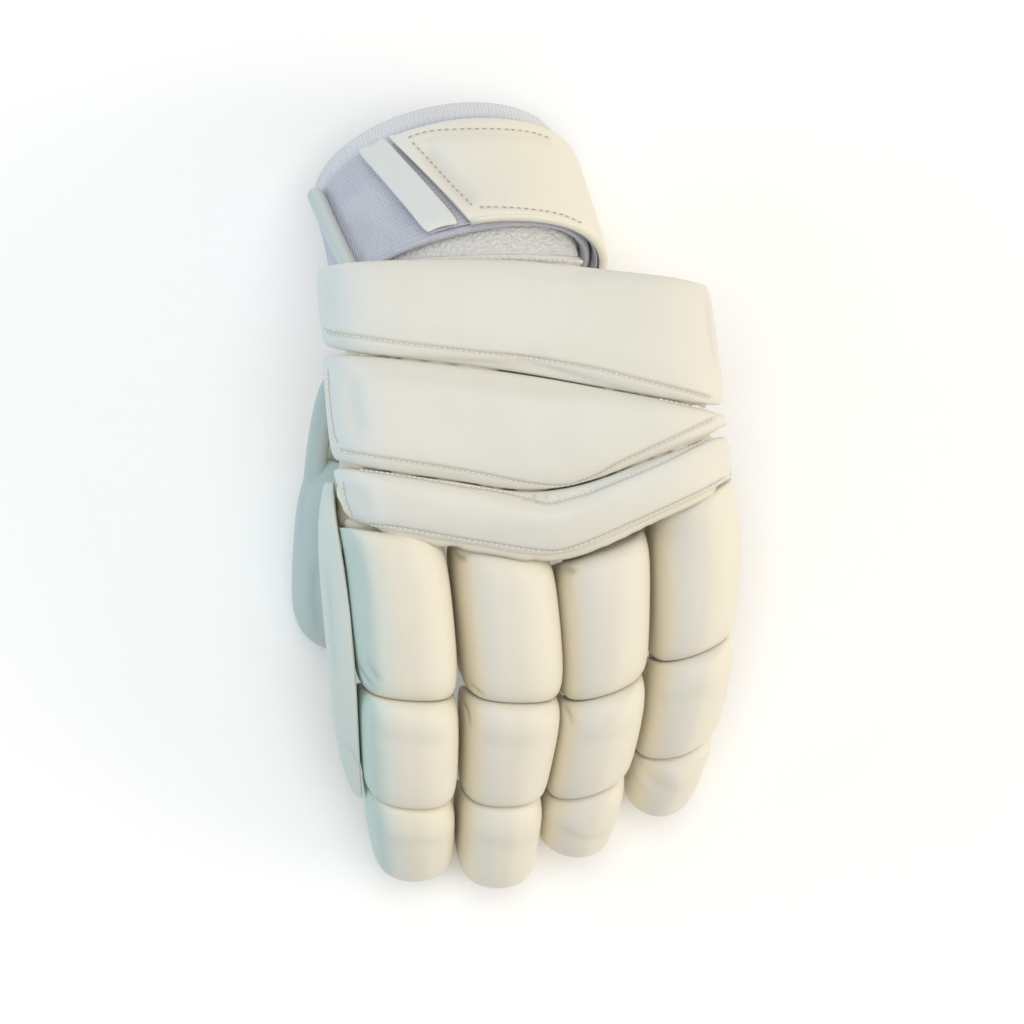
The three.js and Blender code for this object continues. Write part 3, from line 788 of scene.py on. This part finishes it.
class Workroom:
    """Copies the frame's solids and makes soft pieces of them."""

    FIT_ROUNDS = 3
    FIT_SHARE = 0.8
    WELD = 0.001 * MM
    FACE_ANGLE = math.radians(40)
    SHAPE_ANGLE = math.radians(60)
    FLOOR_GAP = 0.1 * MM
    CLOTH_FRAMES = 20
    CLOTH_QUALITY = 4
    CLOTH_STIFFNESS = 20.0
    DEEP = 0.7
    REACH = 3

    def __init__(self, frame: dict[str, Any]) -> None:
        """Takes the loaded frame."""
        self.frame = frame
        self.waiting: list[tuple[bpy.types.Object, Padding, np.ndarray, np.ndarray]] = []

    def soft_copy(self, node: str, levels: int) -> bpy.types.Object:
        """A rounded copy of a solid that still passes through the solid's corners.

        Args:
            node: the solid.
            levels: how many times its faces are divided.

        Returns:
            The copy, named after the solid.
        """
        bm = bmesh.new()
        bm.from_mesh(self.frame["nodes"][node].data)
        bmesh.ops.remove_doubles(bm, verts=bm.verts, dist=self.WELD)
        bmesh.ops.join_triangles(
            bm,
            faces=bm.faces,
            angle_face_threshold=self.FACE_ANGLE,
            angle_shape_threshold=self.SHAPE_ANGLE,
        )
        piece = from_bmesh(node + "_soft", bm)
        subdivide(piece, levels)
        corners = coordinates(piece.data)
        for _ in range(self.FIT_ROUNDS):
            graph = bpy.context.evaluated_depsgraph_get()
            rounded = coordinates(piece.evaluated_get(graph).data)[: len(corners)]
            reshape(piece.data, coordinates(piece.data) + self.FIT_SHARE * (corners - rounded))
        applied(piece)
        settled = coordinates(piece.data)
        settled[:, 2] = np.maximum(settled[:, 2], self.FLOOR_GAP)
        reshape(piece.data, settled)
        piece.data.shade_smooth()
        return piece

    def padded(self, node: str, padding: Padding) -> bpy.types.Object:
        """A soft copy that is stuffed at the next fill().

        Args:
            node: the solid.
            padding: how it is stuffed.

        Returns:
            The copy.
        """
        piece = self.soft_copy(node, padding.coarse)
        cloth = piece.modifiers.new("stuffing", "CLOTH")
        cloth.settings.quality = self.CLOTH_QUALITY
        cloth.settings.use_pressure = True
        cloth.settings.uniform_pressure_force = padding.pressure
        cloth.settings.effector_weights.gravity = 0.0
        cloth.settings.tension_stiffness = self.CLOTH_STIFFNESS
        cloth.settings.compression_stiffness = self.CLOTH_STIFFNESS
        cloth.collision_settings.use_collision = False
        cloth.point_cache.frame_start = 1
        cloth.point_cache.frame_end = self.CLOTH_FRAMES
        self.waiting.append((piece, padding, coordinates(piece.data), normals(piece.data)))
        return piece

    def fill(self) -> None:
        """Stuffs every waiting piece together, holds each within its own limits and refines it."""
        for frame in range(1, self.CLOTH_FRAMES + 1):
            bpy.context.scene.frame_set(frame)
        for piece, padding, before, facing in self.waiting:
            applied(piece)
            moved = coordinates(piece.data) - before
            limit = padding.snug + padding.crown * np.clip(facing[:, 2], 0, 1) ** 1.5
            length = np.linalg.norm(moved, axis=1)
            share = np.minimum(1, limit / np.maximum(length, 1e-9))
            reshape(piece.data, before + moved * share[:, None])
            subdivide(piece, padding.finer)
            applied(piece)
            piece.data.shade_smooth()
            log.info("%s stuffed, %d faces", piece.name, len(piece.data.polygons))
        self.waiting.clear()
        bpy.context.scene.frame_set(1)

    def press(self, piece: bpy.types.Object, marks: list[Mark]) -> None:
        """Presses lines into a piece, and notes where they are, for its finish to paint shade into
        them.

        Args:
            piece: the piece.
            marks: its lines.
        """
        mesh = piece.data
        surface = Surface(piece)
        co = coordinates(mesh)
        facing = normals(mesh)
        fold = np.zeros(len(co))
        move = np.zeros(len(co))
        for mark in marks:
            spots = surface.trace(mark.route)
            if len(spots) < 3:
                log.warning("%s: a line misses it, from %s", piece.name, mark.route[0])
                continue
            strength = self._fading(len(spots), mark.fade)
            width = mark.width * MM
            gap, share = self._distances(co, spots, width * self.REACH, strength)
            bell = np.exp(-((gap / width) ** 2)) * share
            bell *= np.clip(facing[:, 2] * 3, 0, 1)
            move -= bell * mark.depth * MM
            # The fold map marks where the finishes paint shade into the pressed lines.
            if mark.depth > 0:
                fold = np.maximum(fold, bell * min(1.0, mark.depth / self.DEEP) * mark.tone)
        reshape(mesh, co + facing * move[:, None])
        paint(mesh, "fold", fold)

    @staticmethod
    def _fading(count: int, fade: float) -> np.ndarray:
        """How strong a line is at each of its points: full, but for its two ends.

        Args:
            count: how many points it has.
            fade: the share of it that each end takes to fade out.

        Returns:
            A strength from 0 to 1 for each point.
        """
        share = np.linspace(0, 1, count)
        if fade <= 0:
            return np.ones(count)
        return np.clip(np.minimum(share, 1 - share) / fade, 0, 1)

    @staticmethod
    def _distances(
        co: np.ndarray, spots: list[Spot], reach: float, strength: np.ndarray
    ) -> tuple[np.ndarray, np.ndarray]:
        """Each vertex's distance from a line, and the line's strength there.

        Args:
            co: the vertices.
            spots: the line's points.
            reach: how far away a vertex may be.
            strength: the line's strength at each point.

        Returns:
            Distances and strengths, one of each a vertex.
        """
        tree = KDTree(len(spots))
        for i, spot in enumerate(spots):
            tree.insert(spot.at, i)
        tree.balance()
        places = np.array([s.at for s in spots])
        low = places.min(axis=0) - reach
        high = places.max(axis=0) + reach
        near = np.flatnonzero(np.all((co > low) & (co < high), axis=1))
        gap = np.full(len(co), 1.0)
        value = np.zeros(len(co))
        for i in near:
            _, index, distance = tree.find(co[i])
            gap[i] = distance
            value[i] = strength[index]
        return gap, value

    def lean(self, piece: bpy.types.Object) -> None:
        """Notes how far each part is turned toward the thumb side: 0.5 is not at all, and 1 fully. The
        finishes paint light and shade from it: cool grey and a shade colour where it turns toward the
        thumb side, a warm highlight where it turns away.

        Args:
            piece: the piece.
        """
        facing = normals(piece.data)
        paint(piece.data, "lean", 0.5 - 0.5 * facing[:, 0])
        if "fold" not in piece.data.attributes:
            paint(piece.data, "fold", np.zeros(len(facing)))

    def dress(
        self, piece: bpy.types.Object, material: bpy.types.Material, slot: Slot, *nodes: str
    ) -> None:
        """Gives a piece its finish and its place on the part.

        Args:
            piece: the piece.
            material: its finish.
            slot: the record's slot that the finish is for; not used.
            nodes: the solids that the piece stands for.
        """
        # The facing map that the finishes paint light and shade from.
        self.lean(piece)
        piece.data.materials.clear()
        piece.data.materials.append(material)
        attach(piece, "root")
        if nodes:
            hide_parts(*nodes)


@dataclass(frozen=True)
class Seam:
    """Rows of stitches laid on a piece. Lengths are in millimetres."""

    name: str
    pitch: float = 1.95
    length: float = 1.35
    width: float = 0.5
    lift: float = 0.12
    longest_step: float = 3.0

    def sew(self, piece: bpy.types.Object, routes: list[tuple[Pixel, ...]]) -> bpy.types.Object:
        """Makes the stitches.

        Args:
            piece: what they are sewn on.
            routes: their lines, in pixels.

        Returns:
            The stitches as one piece.
        """
        surface = Surface(piece)
        bm = bmesh.new()
        for route in routes:
            self._row(bm, surface.trace(route))
        return from_bmesh(self.name, bm)

    def _row(self, bm: bmesh.types.BMesh, spots: list[Spot]) -> None:
        """Adds one row of stitches, and none across a gap in its line.

        Args:
            bm: what they are added to.
            spots: the row's line.
        """
        walked = 0.0
        due = self.pitch / 2 * MM
        for before, after in zip(spots, spots[1:]):
            step = (after.at - before.at).length
            if step > self.longest_step * MM:
                continue
            walked += step
            if walked >= due:
                due += self.pitch * MM
                self._stitch(bm, after, (after.at - before.at).normalized())

    def _stitch(self, bm: bmesh.types.BMesh, spot: Spot, forward: Vector) -> None:
        """Adds one stitch: a bead drawn out along the row.

        Args:
            bm: what it is added to.
            spot: its place.
            forward: the row's direction.
        """
        side = spot.normal.cross(forward).normalized()
        up = forward.cross(side)
        turn = Matrix((forward, side, up)).transposed().to_4x4()
        size = Matrix.Diagonal((self.length / 2 * MM, self.width / 2 * MM, self.width / 2 * MM, 1.0))
        place = Matrix.Translation(spot.at + spot.normal * self.lift * MM)
        lying = place @ turn @ size @ Matrix.Rotation(math.pi / 2, 4, "Y")
        bmesh.ops.create_uvsphere(bm, u_segments=7, v_segments=5, radius=1.0, matrix=lying)


@dataclass(frozen=True)
class Tape:
    """A flat tape's section, and how far its middle stands off its line, in millimetres."""

    width: float
    thickness: float
    lift: float = 0.0
    sides: int = 10

    def lay(self, name: str, spots: list[Spot]) -> bpy.types.Object:
        """Lays the tape along a line.

        Args:
            name: the piece's name.
            spots: the line.

        Returns:
            The piece, a closed mesh.
        """
        frames = self._frames(spots)
        bm = bmesh.new()
        ring = bmesh.ops.create_circle(bm, cap_ends=True, segments=self.sides, radius=1.0)["verts"]
        bmesh.ops.transform(bm, matrix=frames[0], verts=ring)
        for before, after in zip(frames, frames[1:]):
            near = dict.fromkeys(edge for v in ring for edge in v.link_edges)
            edges = [edge for edge in near if all(v in ring for v in edge.verts)]
            made = bmesh.ops.extrude_edge_only(bm, edges=edges)["geom"]
            ring = [g for g in made if isinstance(g, bmesh.types.BMVert)]
            bmesh.ops.transform(bm, matrix=after @ before.inverted(), verts=ring)
        last = dict.fromkeys(edge for v in ring for edge in v.link_edges if edge.is_boundary)
        bmesh.ops.contextual_create(bm, geom=list(last))
        bmesh.ops.recalc_face_normals(bm, faces=bm.faces)
        return from_bmesh(name, bm)

    def _frames(self, spots: list[Spot]) -> list[Matrix]:
        """Where the tape's section lies at each spot.

        Args:
            spots: the line.

        Returns:
            A matrix for each spot, which places a circle of radius 1 as the section.
        """
        size = Matrix.Diagonal((self.width / 2 * MM, self.thickness / 2 * MM, 1.0, 1.0))
        frames = []
        for i, spot in enumerate(spots):
            ahead = spots[min(i + 1, len(spots) - 1)].at - spots[max(i - 1, 0)].at
            forward = ahead.normalized()
            side = forward.cross(spot.normal).normalized()
            up = side.cross(forward)
            turn = Matrix((side, up, forward)).transposed().to_4x4()
            frames.append(Matrix.Translation(spot.at + up * (self.lift * MM)) @ turn @ size)
        return frames


# Sub-assemblies


@dataclass
class StuffedGroup:
    """Stuffed pieces that are cut out together, filled together and then finished."""

    room: Workroom
    finishes: Finishes
    nodes: tuple[str, ...] = ()
    padding: Padding = Padding()
    pieces: dict[str, bpy.types.Object] = field(default_factory=dict)

    def build(self) -> None:
        """Copies the group's solids."""
        for node in self.nodes:
            self.pieces[node] = self.room.padded(node, self.padding)


@dataclass
class BackPanels(StuffedGroup):
    """The three padded panels across the back of the hand, and the leather under their edges."""

    nodes: tuple[str, ...] = ("panel_wrist", "panel_knuckle", "panel_chevron")
    padding: Padding = Padding(crown=2.2 * MM, finer=2)
    lining_shift: float = -2.2
    wrist_lining: Tape = Tape(7.2, 2.8, -7.4)
    knuckle_lining: Tape = Tape(7.2, 2.8, -6.0)
    finger_lining: Tape = Tape(9.2, 2.8, -4.2)

    WRIST_HEM = (
        (317, 283), (316, 300), (318, 318), (322, 329), (335, 334), (360, 337), (400, 343), (440, 348),
        (480, 353), (520, 357), (560, 363), (600, 370), (640, 380), (680, 390), (714, 399),
    )
    KNUCKLE_LEFT = ((327, 368), (329, 400), (333, 432), (338, 446))
    KNUCKLE_HEM = (
        (338, 448), (345, 452), (400, 461), (440, 467), (480, 474), (530, 484), (560, 486), (580, 482),
        (600, 474), (620, 463), (650, 449), (690, 430), (718, 416),
    )
    KNUCKLE_TOP = ((590, 385), (620, 390), (650, 397), (690, 406), (718, 412))
    CHEVRON_TOP = (
        (346, 468), (400, 475), (460, 485), (500, 491), (530, 498), (550, 502), (580, 495), (600, 488),
        (660, 463), (700, 443), (721, 435),
    )
    CHEVRON_HEM = (
        (342, 478), (344, 495), (350, 513), (357, 523), (400, 528), (450, 537), (500, 545), (540, 551),
        (560, 551), (580, 545), (600, 537), (650, 515), (700, 492), (727, 477),
    )

    def finish(self) -> None:
        """Presses in the seams, sews them and dresses the panels."""
        # A mark's last number is how strongly painted shade darkens its line.
        marks = {
            "panel_wrist": [
                Mark(self.WRIST_HEM, 0.9, 0.6, 0.02),
                Mark(((332, 272), (328, 290), (329, 312), (336, 326)), 4.0, 0.7, 0.3, 0.1),
                Mark(((697, 268), (704, 290), (710, 330), (716, 372)), 1.4, 0.45, 0.25, 0.3),
                Mark(((345, 325), (420, 337), (500, 346), (600, 360), (690, 382)), 4.5, 0.5, 0.1, 0.1),
            ],
            "panel_knuckle": [
                Mark(self.KNUCKLE_LEFT, 0.9, 0.45, 0.05),
                Mark(self.KNUCKLE_HEM, 0.9, 0.55, 0.02),
                Mark(self.KNUCKLE_TOP, 0.9, 0.4, 0.2),
                Mark(((352, 366), (350, 390), (354, 420), (364, 444)), 4.5, 0.9, 0.25, 0.1),
                Mark(((352, 368), (420, 373), (500, 383), (590, 394)), 4.0, 0.6, 0.2, 0.1),
            ],
            "panel_chevron": [
                Mark(self.CHEVRON_TOP, 0.9, 0.5, 0.02),
                Mark(self.CHEVRON_HEM, 0.9, 0.5, 0.02),
                Mark(((356, 484), (360, 500), (368, 514)), 4.0, 0.6, 0.3, 0.1),
                Mark(((518, 488), (524, 494), (528, 501)), 0.9, 0.6, 0.3, 0.7),
                Mark(((531, 490), (535, 497), (538, 504)), 0.9, 0.7, 0.3, 0.7),
                Mark(((544, 492), (546, 499), (549, 506)), 0.8, 0.6, 0.3, 0.7),
                Mark(((560, 492), (558, 499), (557, 506)), 0.8, 0.4, 0.3, 0.5),
            ],
        }
        rows = {
            "panel_wrist": [self.WRIST_HEM],
            "panel_knuckle": [self.KNUCKLE_LEFT, self.KNUCKLE_HEM, self.KNUCKLE_TOP],
            "panel_chevron": [self.CHEVRON_TOP, self.CHEVRON_HEM],
        }
        for node, piece in self.pieces.items():
            self.room.press(piece, marks[node])
            self.room.dress(piece, self.finishes.panel, Slot.PANEL, node)
            stitches = Seam(node + "_stitches").sew(piece, rows[node])
            self.room.dress(stitches, self.finishes.thread, Slot.PANEL)
        wrist, knuckle, chevron = (self.pieces[node] for node in self.nodes)
        wrist_route = (*self.WRIST_HEM[4:], (722, 401))
        knuckle_route = (*self.KNUCKLE_HEM, (723, 416))
        self._lining("wrist_lining", self.wrist_lining, wrist, wrist_route)
        self._lining("knuckle_lining", self.knuckle_lining, knuckle, knuckle_route)
        self._lining("finger_lining", self.finger_lining, chevron, self.CHEVRON_HEM)

    def _lining(
        self, name: str, tape: Tape, panel: bpy.types.Object, route: tuple[Pixel, ...]
    ) -> None:
        """Lays the leather under a panel's lower edge, which the next row is sewn to.

        Args:
            name: the lining's name.
            tape: its section.
            panel: the panel.
            route: a line near the panel's lower edge.
        """
        shift = Vector((0.0, self.lining_shift * MM, 0.0))
        spots = [Spot(s.at + shift, s.normal) for s in Surface(panel).trace(route)[::6]]
        self.room.dress(tape.lay(name, spots), self.finishes.pad, Slot.PAD)


@dataclass
class FingerPads(StuffedGroup):
    """The three pads on each finger."""

    nodes: tuple[str, ...] = tuple(
        f"{finger}_pad_{part}"
        for finger in ("index", "middle", "ring", "little")
        for part in ("base", "middle", "tip")
    )
    padding: Padding = Padding(crown=1.7 * MM)

    # A mark's last number is how strongly painted shade darkens its crease.
    MARKS = {
        "index_pad_base": [
            Mark(((358, 662), (364, 676), (374, 689)), 1.0, 1.1, 0.3, 0.7),
            Mark(((366, 658), (372, 671), (380, 683)), 1.0, 0.8, 0.3, 0.5),
        ],
        "middle_pad_base": [
            Mark(((452, 552), (459, 557), (467, 559)), 1.0, 1.0, 0.3, 0.6),
            Mark(((468, 683), (476, 690), (486, 698)), 1.0, 0.9, 0.3, 0.6),
        ],
        "ring_pad_base": [
            Mark(((562, 566), (569, 570), (577, 571)), 1.0, 1.0, 0.3, 0.6),
        ],
        "index_pad_middle": [Mark(((368, 733), (400, 741), (450, 744)), 3.2, 0.55, 0.2, 0.15)],
        "middle_pad_middle": [
            Mark(((470, 738), (510, 746), (548, 741)), 3.2, 0.55, 0.2, 0.15),
            Mark(((461, 700), (467, 712), (470, 728)), 1.0, 1.0, 0.3, 0.6),
        ],
        "ring_pad_middle": [
            Mark(((572, 738), (600, 741), (634, 730)), 3.0, 0.5, 0.2, 0.15),
            Mark(((563, 704), (568, 714), (572, 726)), 1.0, 1.0, 0.3, 0.6),
        ],
        "little_pad_middle": [Mark(((648, 700), (680, 700), (714, 688)), 3.0, 0.45, 0.2, 0.15)],
        "index_pad_tip": [Mark(((375, 835), (400, 844), (450, 845)), 3.0, 0.5, 0.2, 0.15)],
        "middle_pad_tip": [Mark(((470, 838), (510, 848), (545, 838)), 3.0, 0.5, 0.2, 0.15)],
        "ring_pad_tip": [Mark(((555, 822), (575, 838), (600, 838), (628, 815)), 2.6, 0.6, 0.2, 0.2)],
        "little_pad_tip": [Mark(((645, 778), (670, 789), (697, 783)), 2.6, 0.5, 0.2, 0.2)],
    }

    def finish(self) -> None:
        """Presses in the creases and dresses the pads."""
        for node, piece in self.pieces.items():
            self.room.press(piece, self.MARKS.get(node, []))
            material = self.finishes.index_pad if node.startswith("index") else self.finishes.pad
            self.room.dress(piece, material, Slot.PAD, node)


@dataclass
class SidePads(StuffedGroup):
    """The thumb guard and the bar beside the index finger."""

    nodes: tuple[str, ...] = ("thumb_guard", "index_side_bar")
    padding: Padding = Padding(crown=1.0 * MM)
    web_top: float = 60.0
    web_foot: float = 24.0
    web: Tape = Tape(9.2, 5.2)
    web_facing: tuple[float, float, float] = (-0.5, 0.0, 0.87)

    WEB = ((338, 376), (327, 400), (319, 440), (314, 485), (312, 520))
    # A mark's last number is how strongly painted shade darkens its crease.
    MARKS = {
        "thumb_guard": [
            Mark(((314, 560), (313, 600), (318, 640)), 1.8, 0.8, 0.25, 0.4),
            Mark(((306, 470), (302, 510), (300, 560)), 2.6, 0.5, 0.25, 0.2),
        ],
        "index_side_bar": [
            Mark(((326, 560), (331, 620), (336, 690)), 1.2, 0.5, 0.25, 0.4),
            Mark(((345, 742), (354, 757), (362, 775)), 1.0, 0.5, 0.25, 0.5),
        ],
    }

    def finish(self) -> None:
        """Presses in the creases and dresses both."""
        for node, piece in self.pieces.items():
            self.room.press(piece, self.MARKS[node])
            material = self.finishes.guard if node == "thumb_guard" else self.finishes.side
            self.room.dress(piece, material, Slot.SIDE, node)
        self._web()

    def _web(self) -> None:
        """The leather fold that joins the thumb guard to the hand."""
        line = along(self.WEB, 4.0)
        drop = (self.web_top - self.web_foot) / (len(line) - 1)
        outward = Vector(self.web_facing)
        spots = [
            Spot(LENS.at_height(pixel, (self.web_top - drop * i) * MM), outward)
            for i, pixel in enumerate(line)
        ]
        self.room.dress(self.web.lay("thumb_web", spots), self.finishes.guard, Slot.SIDE)


@dataclass
class PalmLeather:
    """The leather stalls of the fingers and thumb, and the leather round the hand."""

    room: Workroom
    finishes: Finishes

    def finish(self) -> None:
        """Rounds the shells and dresses them."""
        fingers = ("index", "middle", "ring", "little", "thumb")
        for node in (*[finger + "_stall" for finger in fingers], "hand_shell"):
            piece = self.room.soft_copy(node, 2)
            self.room.dress(piece, self.finishes.palm, Slot.PALM, node)


@dataclass
class Cuff:
    """The knitted cuff with its towelling band, binding, piping and strap, in millimetres."""

    room: Workroom
    finishes: Finishes
    base: tuple[float, float, float] = (-18.52, 79.2, 47.1)
    lean_angle: float = -14.5
    fall_angle: float = 34.0
    radius: float = 42.0
    rim_start: float = 45.0
    rim_soft: float = 3.0
    rim_slant: float = 5.92
    rim_level: float = 0.35
    loop_depth: float = 0.3
    hem_turn: tuple[float, float] = (11.5, 121.0)
    hem_step: float = 4.0
    hem_vertices: int = 6
    hem: Tape = Tape(1.8, 3.4, -0.7)
    binding: Tape = Tape(3.0, 1.6, 0.6)

    PATCH_TOP = ((407, 139), (412, 136), (430, 131), (460, 129), (500, 129), (530, 132), (552, 139))
    PATCH_SLANT = ((411, 141), (430, 161), (450, 183), (472, 205))
    PATCH_HEM = ((477, 207), (500, 207), (530, 209), (560, 214), (582, 223))
    BINDING = (
        (396, 265), (430, 261.5), (470, 259.5), (510, 258.5), (550, 259.5), (585, 262), (604, 265),
    )

    def axes(self) -> tuple[Vector, Vector, Vector, Vector]:
        """The cuff's own directions.

        Returns:
            Its base point, and the directions along it, across it and up.
        """
        lean = math.radians(self.lean_angle)
        fall = math.radians(self.fall_angle)
        level = math.cos(fall)
        forward = Vector((math.sin(lean) * level, math.cos(lean) * level, -math.sin(fall)))
        side = Vector((math.cos(lean), -math.sin(lean), 0.0))
        return Vector(self.base) * MM, forward, side, side.cross(forward).normalized()

    def weave(self, piece: bpy.types.Object, rim: bool = True) -> None:
        """Lays the weave map on a knitted piece: round the cuff and along it, in centimetres.

        Args:
            piece: the piece.
            rim: whether its far end is the ribbed rim.
        """
        mesh = piece.data
        origin, forward, side, up = self.axes()
        offset = coordinates(mesh) - np.array(origin)
        distance = offset @ np.array(forward)
        angle = np.arctan2(offset @ np.array(side), offset @ np.array(up))
        corners = np.empty(len(mesh.loops), dtype=np.int32)
        mesh.loops.foreach_get("vertex_index", corners)
        turns = angle[corners]
        starts = np.array([p.loop_start for p in mesh.polygons])
        totals = np.array([p.loop_total for p in mesh.polygons])
        first = np.repeat(turns[starts], totals)
        turns = turns + 2 * math.pi * np.round((first - turns) / (2 * math.pi))
        layer = mesh.uv_layers.new(name="weave")
        flat = np.empty(len(corners) * 2)
        flat[0::2] = turns * self.radius / 10
        flat[1::2] = distance[corners] * 100
        layer.data.foreach_set("uv", flat)
        slant = self.rim_slant * (np.cos(angle) - self.rim_level)
        share = (distance / MM - self.rim_start - slant) / self.rim_soft
        paint(mesh, "rim", share if rim else np.zeros(len(share)))

    def terry(self, piece: bpy.types.Object) -> None:
        """Roughens a towelling piece with small loops.

        Args:
            piece: the piece.
        """
        mesh = piece.data
        co = coordinates(mesh)
        wave = np.sin(co[:, 0] * 3100) * np.sin(co[:, 1] * 2700 + co[:, 0] * 900)
        wave *= np.sin(co[:, 2] * 2900 + 1)
        reshape(mesh, co + normals(mesh) * (wave * self.loop_depth * MM)[:, None])

    def finish(self) -> None:
        """Builds and dresses every piece of the cuff."""
        self._cloth()
        self._strap()
        self._piping()
        self._binding()

    def _cloth(self) -> None:
        """The knitted cuff and the towelling band."""
        cuff = self.room.soft_copy("cuff", 3)
        # A mark's last number is how strongly painted shade darkens its dent.
        marks = [
            Mark(((345, 215), (362, 232), (372, 252)), 5.0, 0.9, 0.3, 0.3),
            Mark(((352, 150), (345, 175), (352, 200)), 6.0, 0.8, 0.3, 0.2),
        ]
        self.room.press(cuff, marks)
        self.weave(cuff)
        self.room.dress(cuff, self.finishes.knit, Slot.KNIT, "cuff")
        band = self.room.soft_copy("wrist_band", 3)
        self.terry(band)
        self.room.dress(band, self.finishes.towel, Slot.TOWEL, "wrist_band")

    def _strap(self) -> None:
        """The strap's knitted base, leather patch and bar."""
        base = self.room.soft_copy("strap_base", 3)
        self.weave(base, False)
        self.room.dress(base, self.finishes.strap_knit, Slot.KNIT, "strap_base")
        patch = self.room.soft_copy("strap_patch", 4)
        # A mark's last number is how strongly painted shade darkens its line.
        marks = [
            Mark(self.PATCH_TOP, 0.8, 0.35, 0.02, 0.8),
            Mark(self.PATCH_SLANT, 0.8, 0.35, 0.02, 0.8),
            Mark(self.PATCH_HEM, 0.8, 0.35, 0.02, 0.8),
            Mark(((416, 143), (440, 135), (480, 133), (530, 137), (558, 145)), 2.0, 0.45, 0.1, 0.3),
            Mark(((420, 146), (440, 168), (460, 190), (478, 203)), 3.2, 0.7, 0.15, 0.45),
        ]
        self.room.press(patch, marks)
        self.room.dress(patch, self.finishes.patch, Slot.PANEL, "strap_patch")
        seam = Seam("strap_patch_stitches", pitch=2.75, length=1.7, lift=0.05)
        stitches = seam.sew(patch, [self.PATCH_TOP, self.PATCH_SLANT, self.PATCH_HEM])
        self.room.dress(stitches, self.finishes.dark_thread, Slot.PANEL)
        hem = self.hem.lay("strap_hem", self._lower_edge(patch))
        self.room.dress(hem, self.finishes.patch, Slot.PANEL)
        bar = self.room.soft_copy("strap_bar", 4)
        self.room.dress(bar, self.finishes.bar, Slot.BAR, "strap_bar")

    def _lower_edge(self, layer: bpy.types.Object) -> list[Spot]:
        """The edge of a strap layer on the hand's side, from its slanted end round the cuff.

        Args:
            layer: the finished layer.

        Returns:
            Spots along the edge, which face outwards.
        """
        origin, forward, side, up = self.axes()
        co = coordinates(layer.data)
        offset = co - np.array(origin)
        distance = offset @ np.array(forward)
        angle = np.degrees(np.arctan2(offset @ np.array(side), offset @ np.array(up)))
        spots = []
        for start in np.arange(*self.hem_turn, self.hem_step):
            near = np.flatnonzero((angle >= start) & (angle < start + self.hem_step))
            if len(near) == 0:
                continue
            lowest = near[np.argsort(distance[near])[: self.hem_vertices]]
            at = Vector(co[lowest].mean(axis=0))
            outward = at - origin - forward * (at - origin).dot(forward)
            spots.append(Spot(at, outward.normalized()))
        return spots

    def _piping(self) -> None:
        """The smooth roll on the thumb side."""
        roll = self.room.soft_copy("cuff_piping", 3)
        self.room.dress(roll, self.finishes.piping, Slot.SIDE, "cuff_piping")

    def _binding(self) -> None:
        """The stitched tape between the towelling and the first panel."""
        spots = Surface(bpy.data.objects["wrist_band_soft"]).trace(self.BINDING)[::3]
        tape = self.binding.lay("wrist_binding", spots)
        self.room.dress(tape, self.finishes.thread, Slot.TOWEL)
        seam = Seam("wrist_binding_stitches", pitch=2.3, length=2.1, width=1.5)
        self.room.dress(seam.sew(tape, [self.BINDING]), self.finishes.thread, Slot.TOWEL)


# The studio


@dataclass(frozen=True)
class SoftLight:
    """A square soft light that faces the glove. Metres and watts."""

    name: str
    at: tuple[float, float, float]
    size: float
    power: float
    colour: tuple[float, float, float]

    def hang(self) -> None:
        """Adds the light to the scene."""
        data = bpy.data.lights.new(self.name, "AREA")
        data.shape = "SQUARE"
        data.size = self.size
        data.energy = self.power
        data.color = self.colour
        light = bpy.data.objects.new(self.name, data)
        light.location = self.at
        light.rotation_mode = "QUATERNION"
        light.rotation_quaternion = (-Vector(self.at)).to_track_quat("-Z", "Y")
        bpy.context.scene.collection.objects.link(light)


@dataclass
class Studio:
    """The pale floor, the soft lights and the camera."""

    sky: float = 0.45
    floor_reach: float = 4.0
    lights: tuple[SoftLight, ...] = (
        SoftLight("key light", (0.25, 0.5, 2.7), 2.2, 34.5, (1.0, 0.99, 0.97)),
        SoftLight("cool light", (-1.7, 0.1, 0.55), 0.9, 8.0, (0.66, 0.9, 1.0)),
        SoftLight("warm light", (1.7, -0.3, 0.8), 0.9, 9.5, (1.0, 0.86, 0.66)),
    )

    def build(self) -> None:
        """Builds everything that isn't the glove."""
        self._floor()
        self._sky()
        for light in self.lights:
            light.hang()
        LENS.camera()
        bpy.context.scene.view_settings.view_transform = "Standard"

    def _floor(self) -> None:
        """Lays the table top."""
        bm = bmesh.new()
        bmesh.ops.create_grid(bm, x_segments=4, y_segments=4, size=self.floor_reach)
        floor = from_bmesh("floor", bm)
        floor.data.materials.append(TableTop("table top", (254, 254, 254)).material())

    def _sky(self) -> None:
        """Gives even white light from all round."""
        world = bpy.data.worlds.new("studio")
        world.use_nodes = True
        background = world.node_tree.nodes["Background"]
        background.inputs["Color"].default_value = (1.0, 1.0, 1.0, 1.0)
        background.inputs["Strength"].default_value = self.sky
        bpy.context.scene.world = world


def main() -> None:
    """Builds the glove piece by piece and sets up the studio."""
    logging.basicConfig(level=logging.INFO, format="%(message)s")
    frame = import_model()
    Studio().build()
    room = Workroom(frame)
    finishes = Finishes()
    stuffed = [BackPanels(room, finishes), FingerPads(room, finishes), SidePads(room, finishes)]
    for group in stuffed:
        group.build()
        log.info("%s cut out", type(group).__name__)
    room.fill()
    for group in [*stuffed, PalmLeather(room, finishes), Cuff(room, finishes)]:
        group.finish()
        log.info("%s dressed", type(group).__name__)


if __name__ == "__main__":
    main()
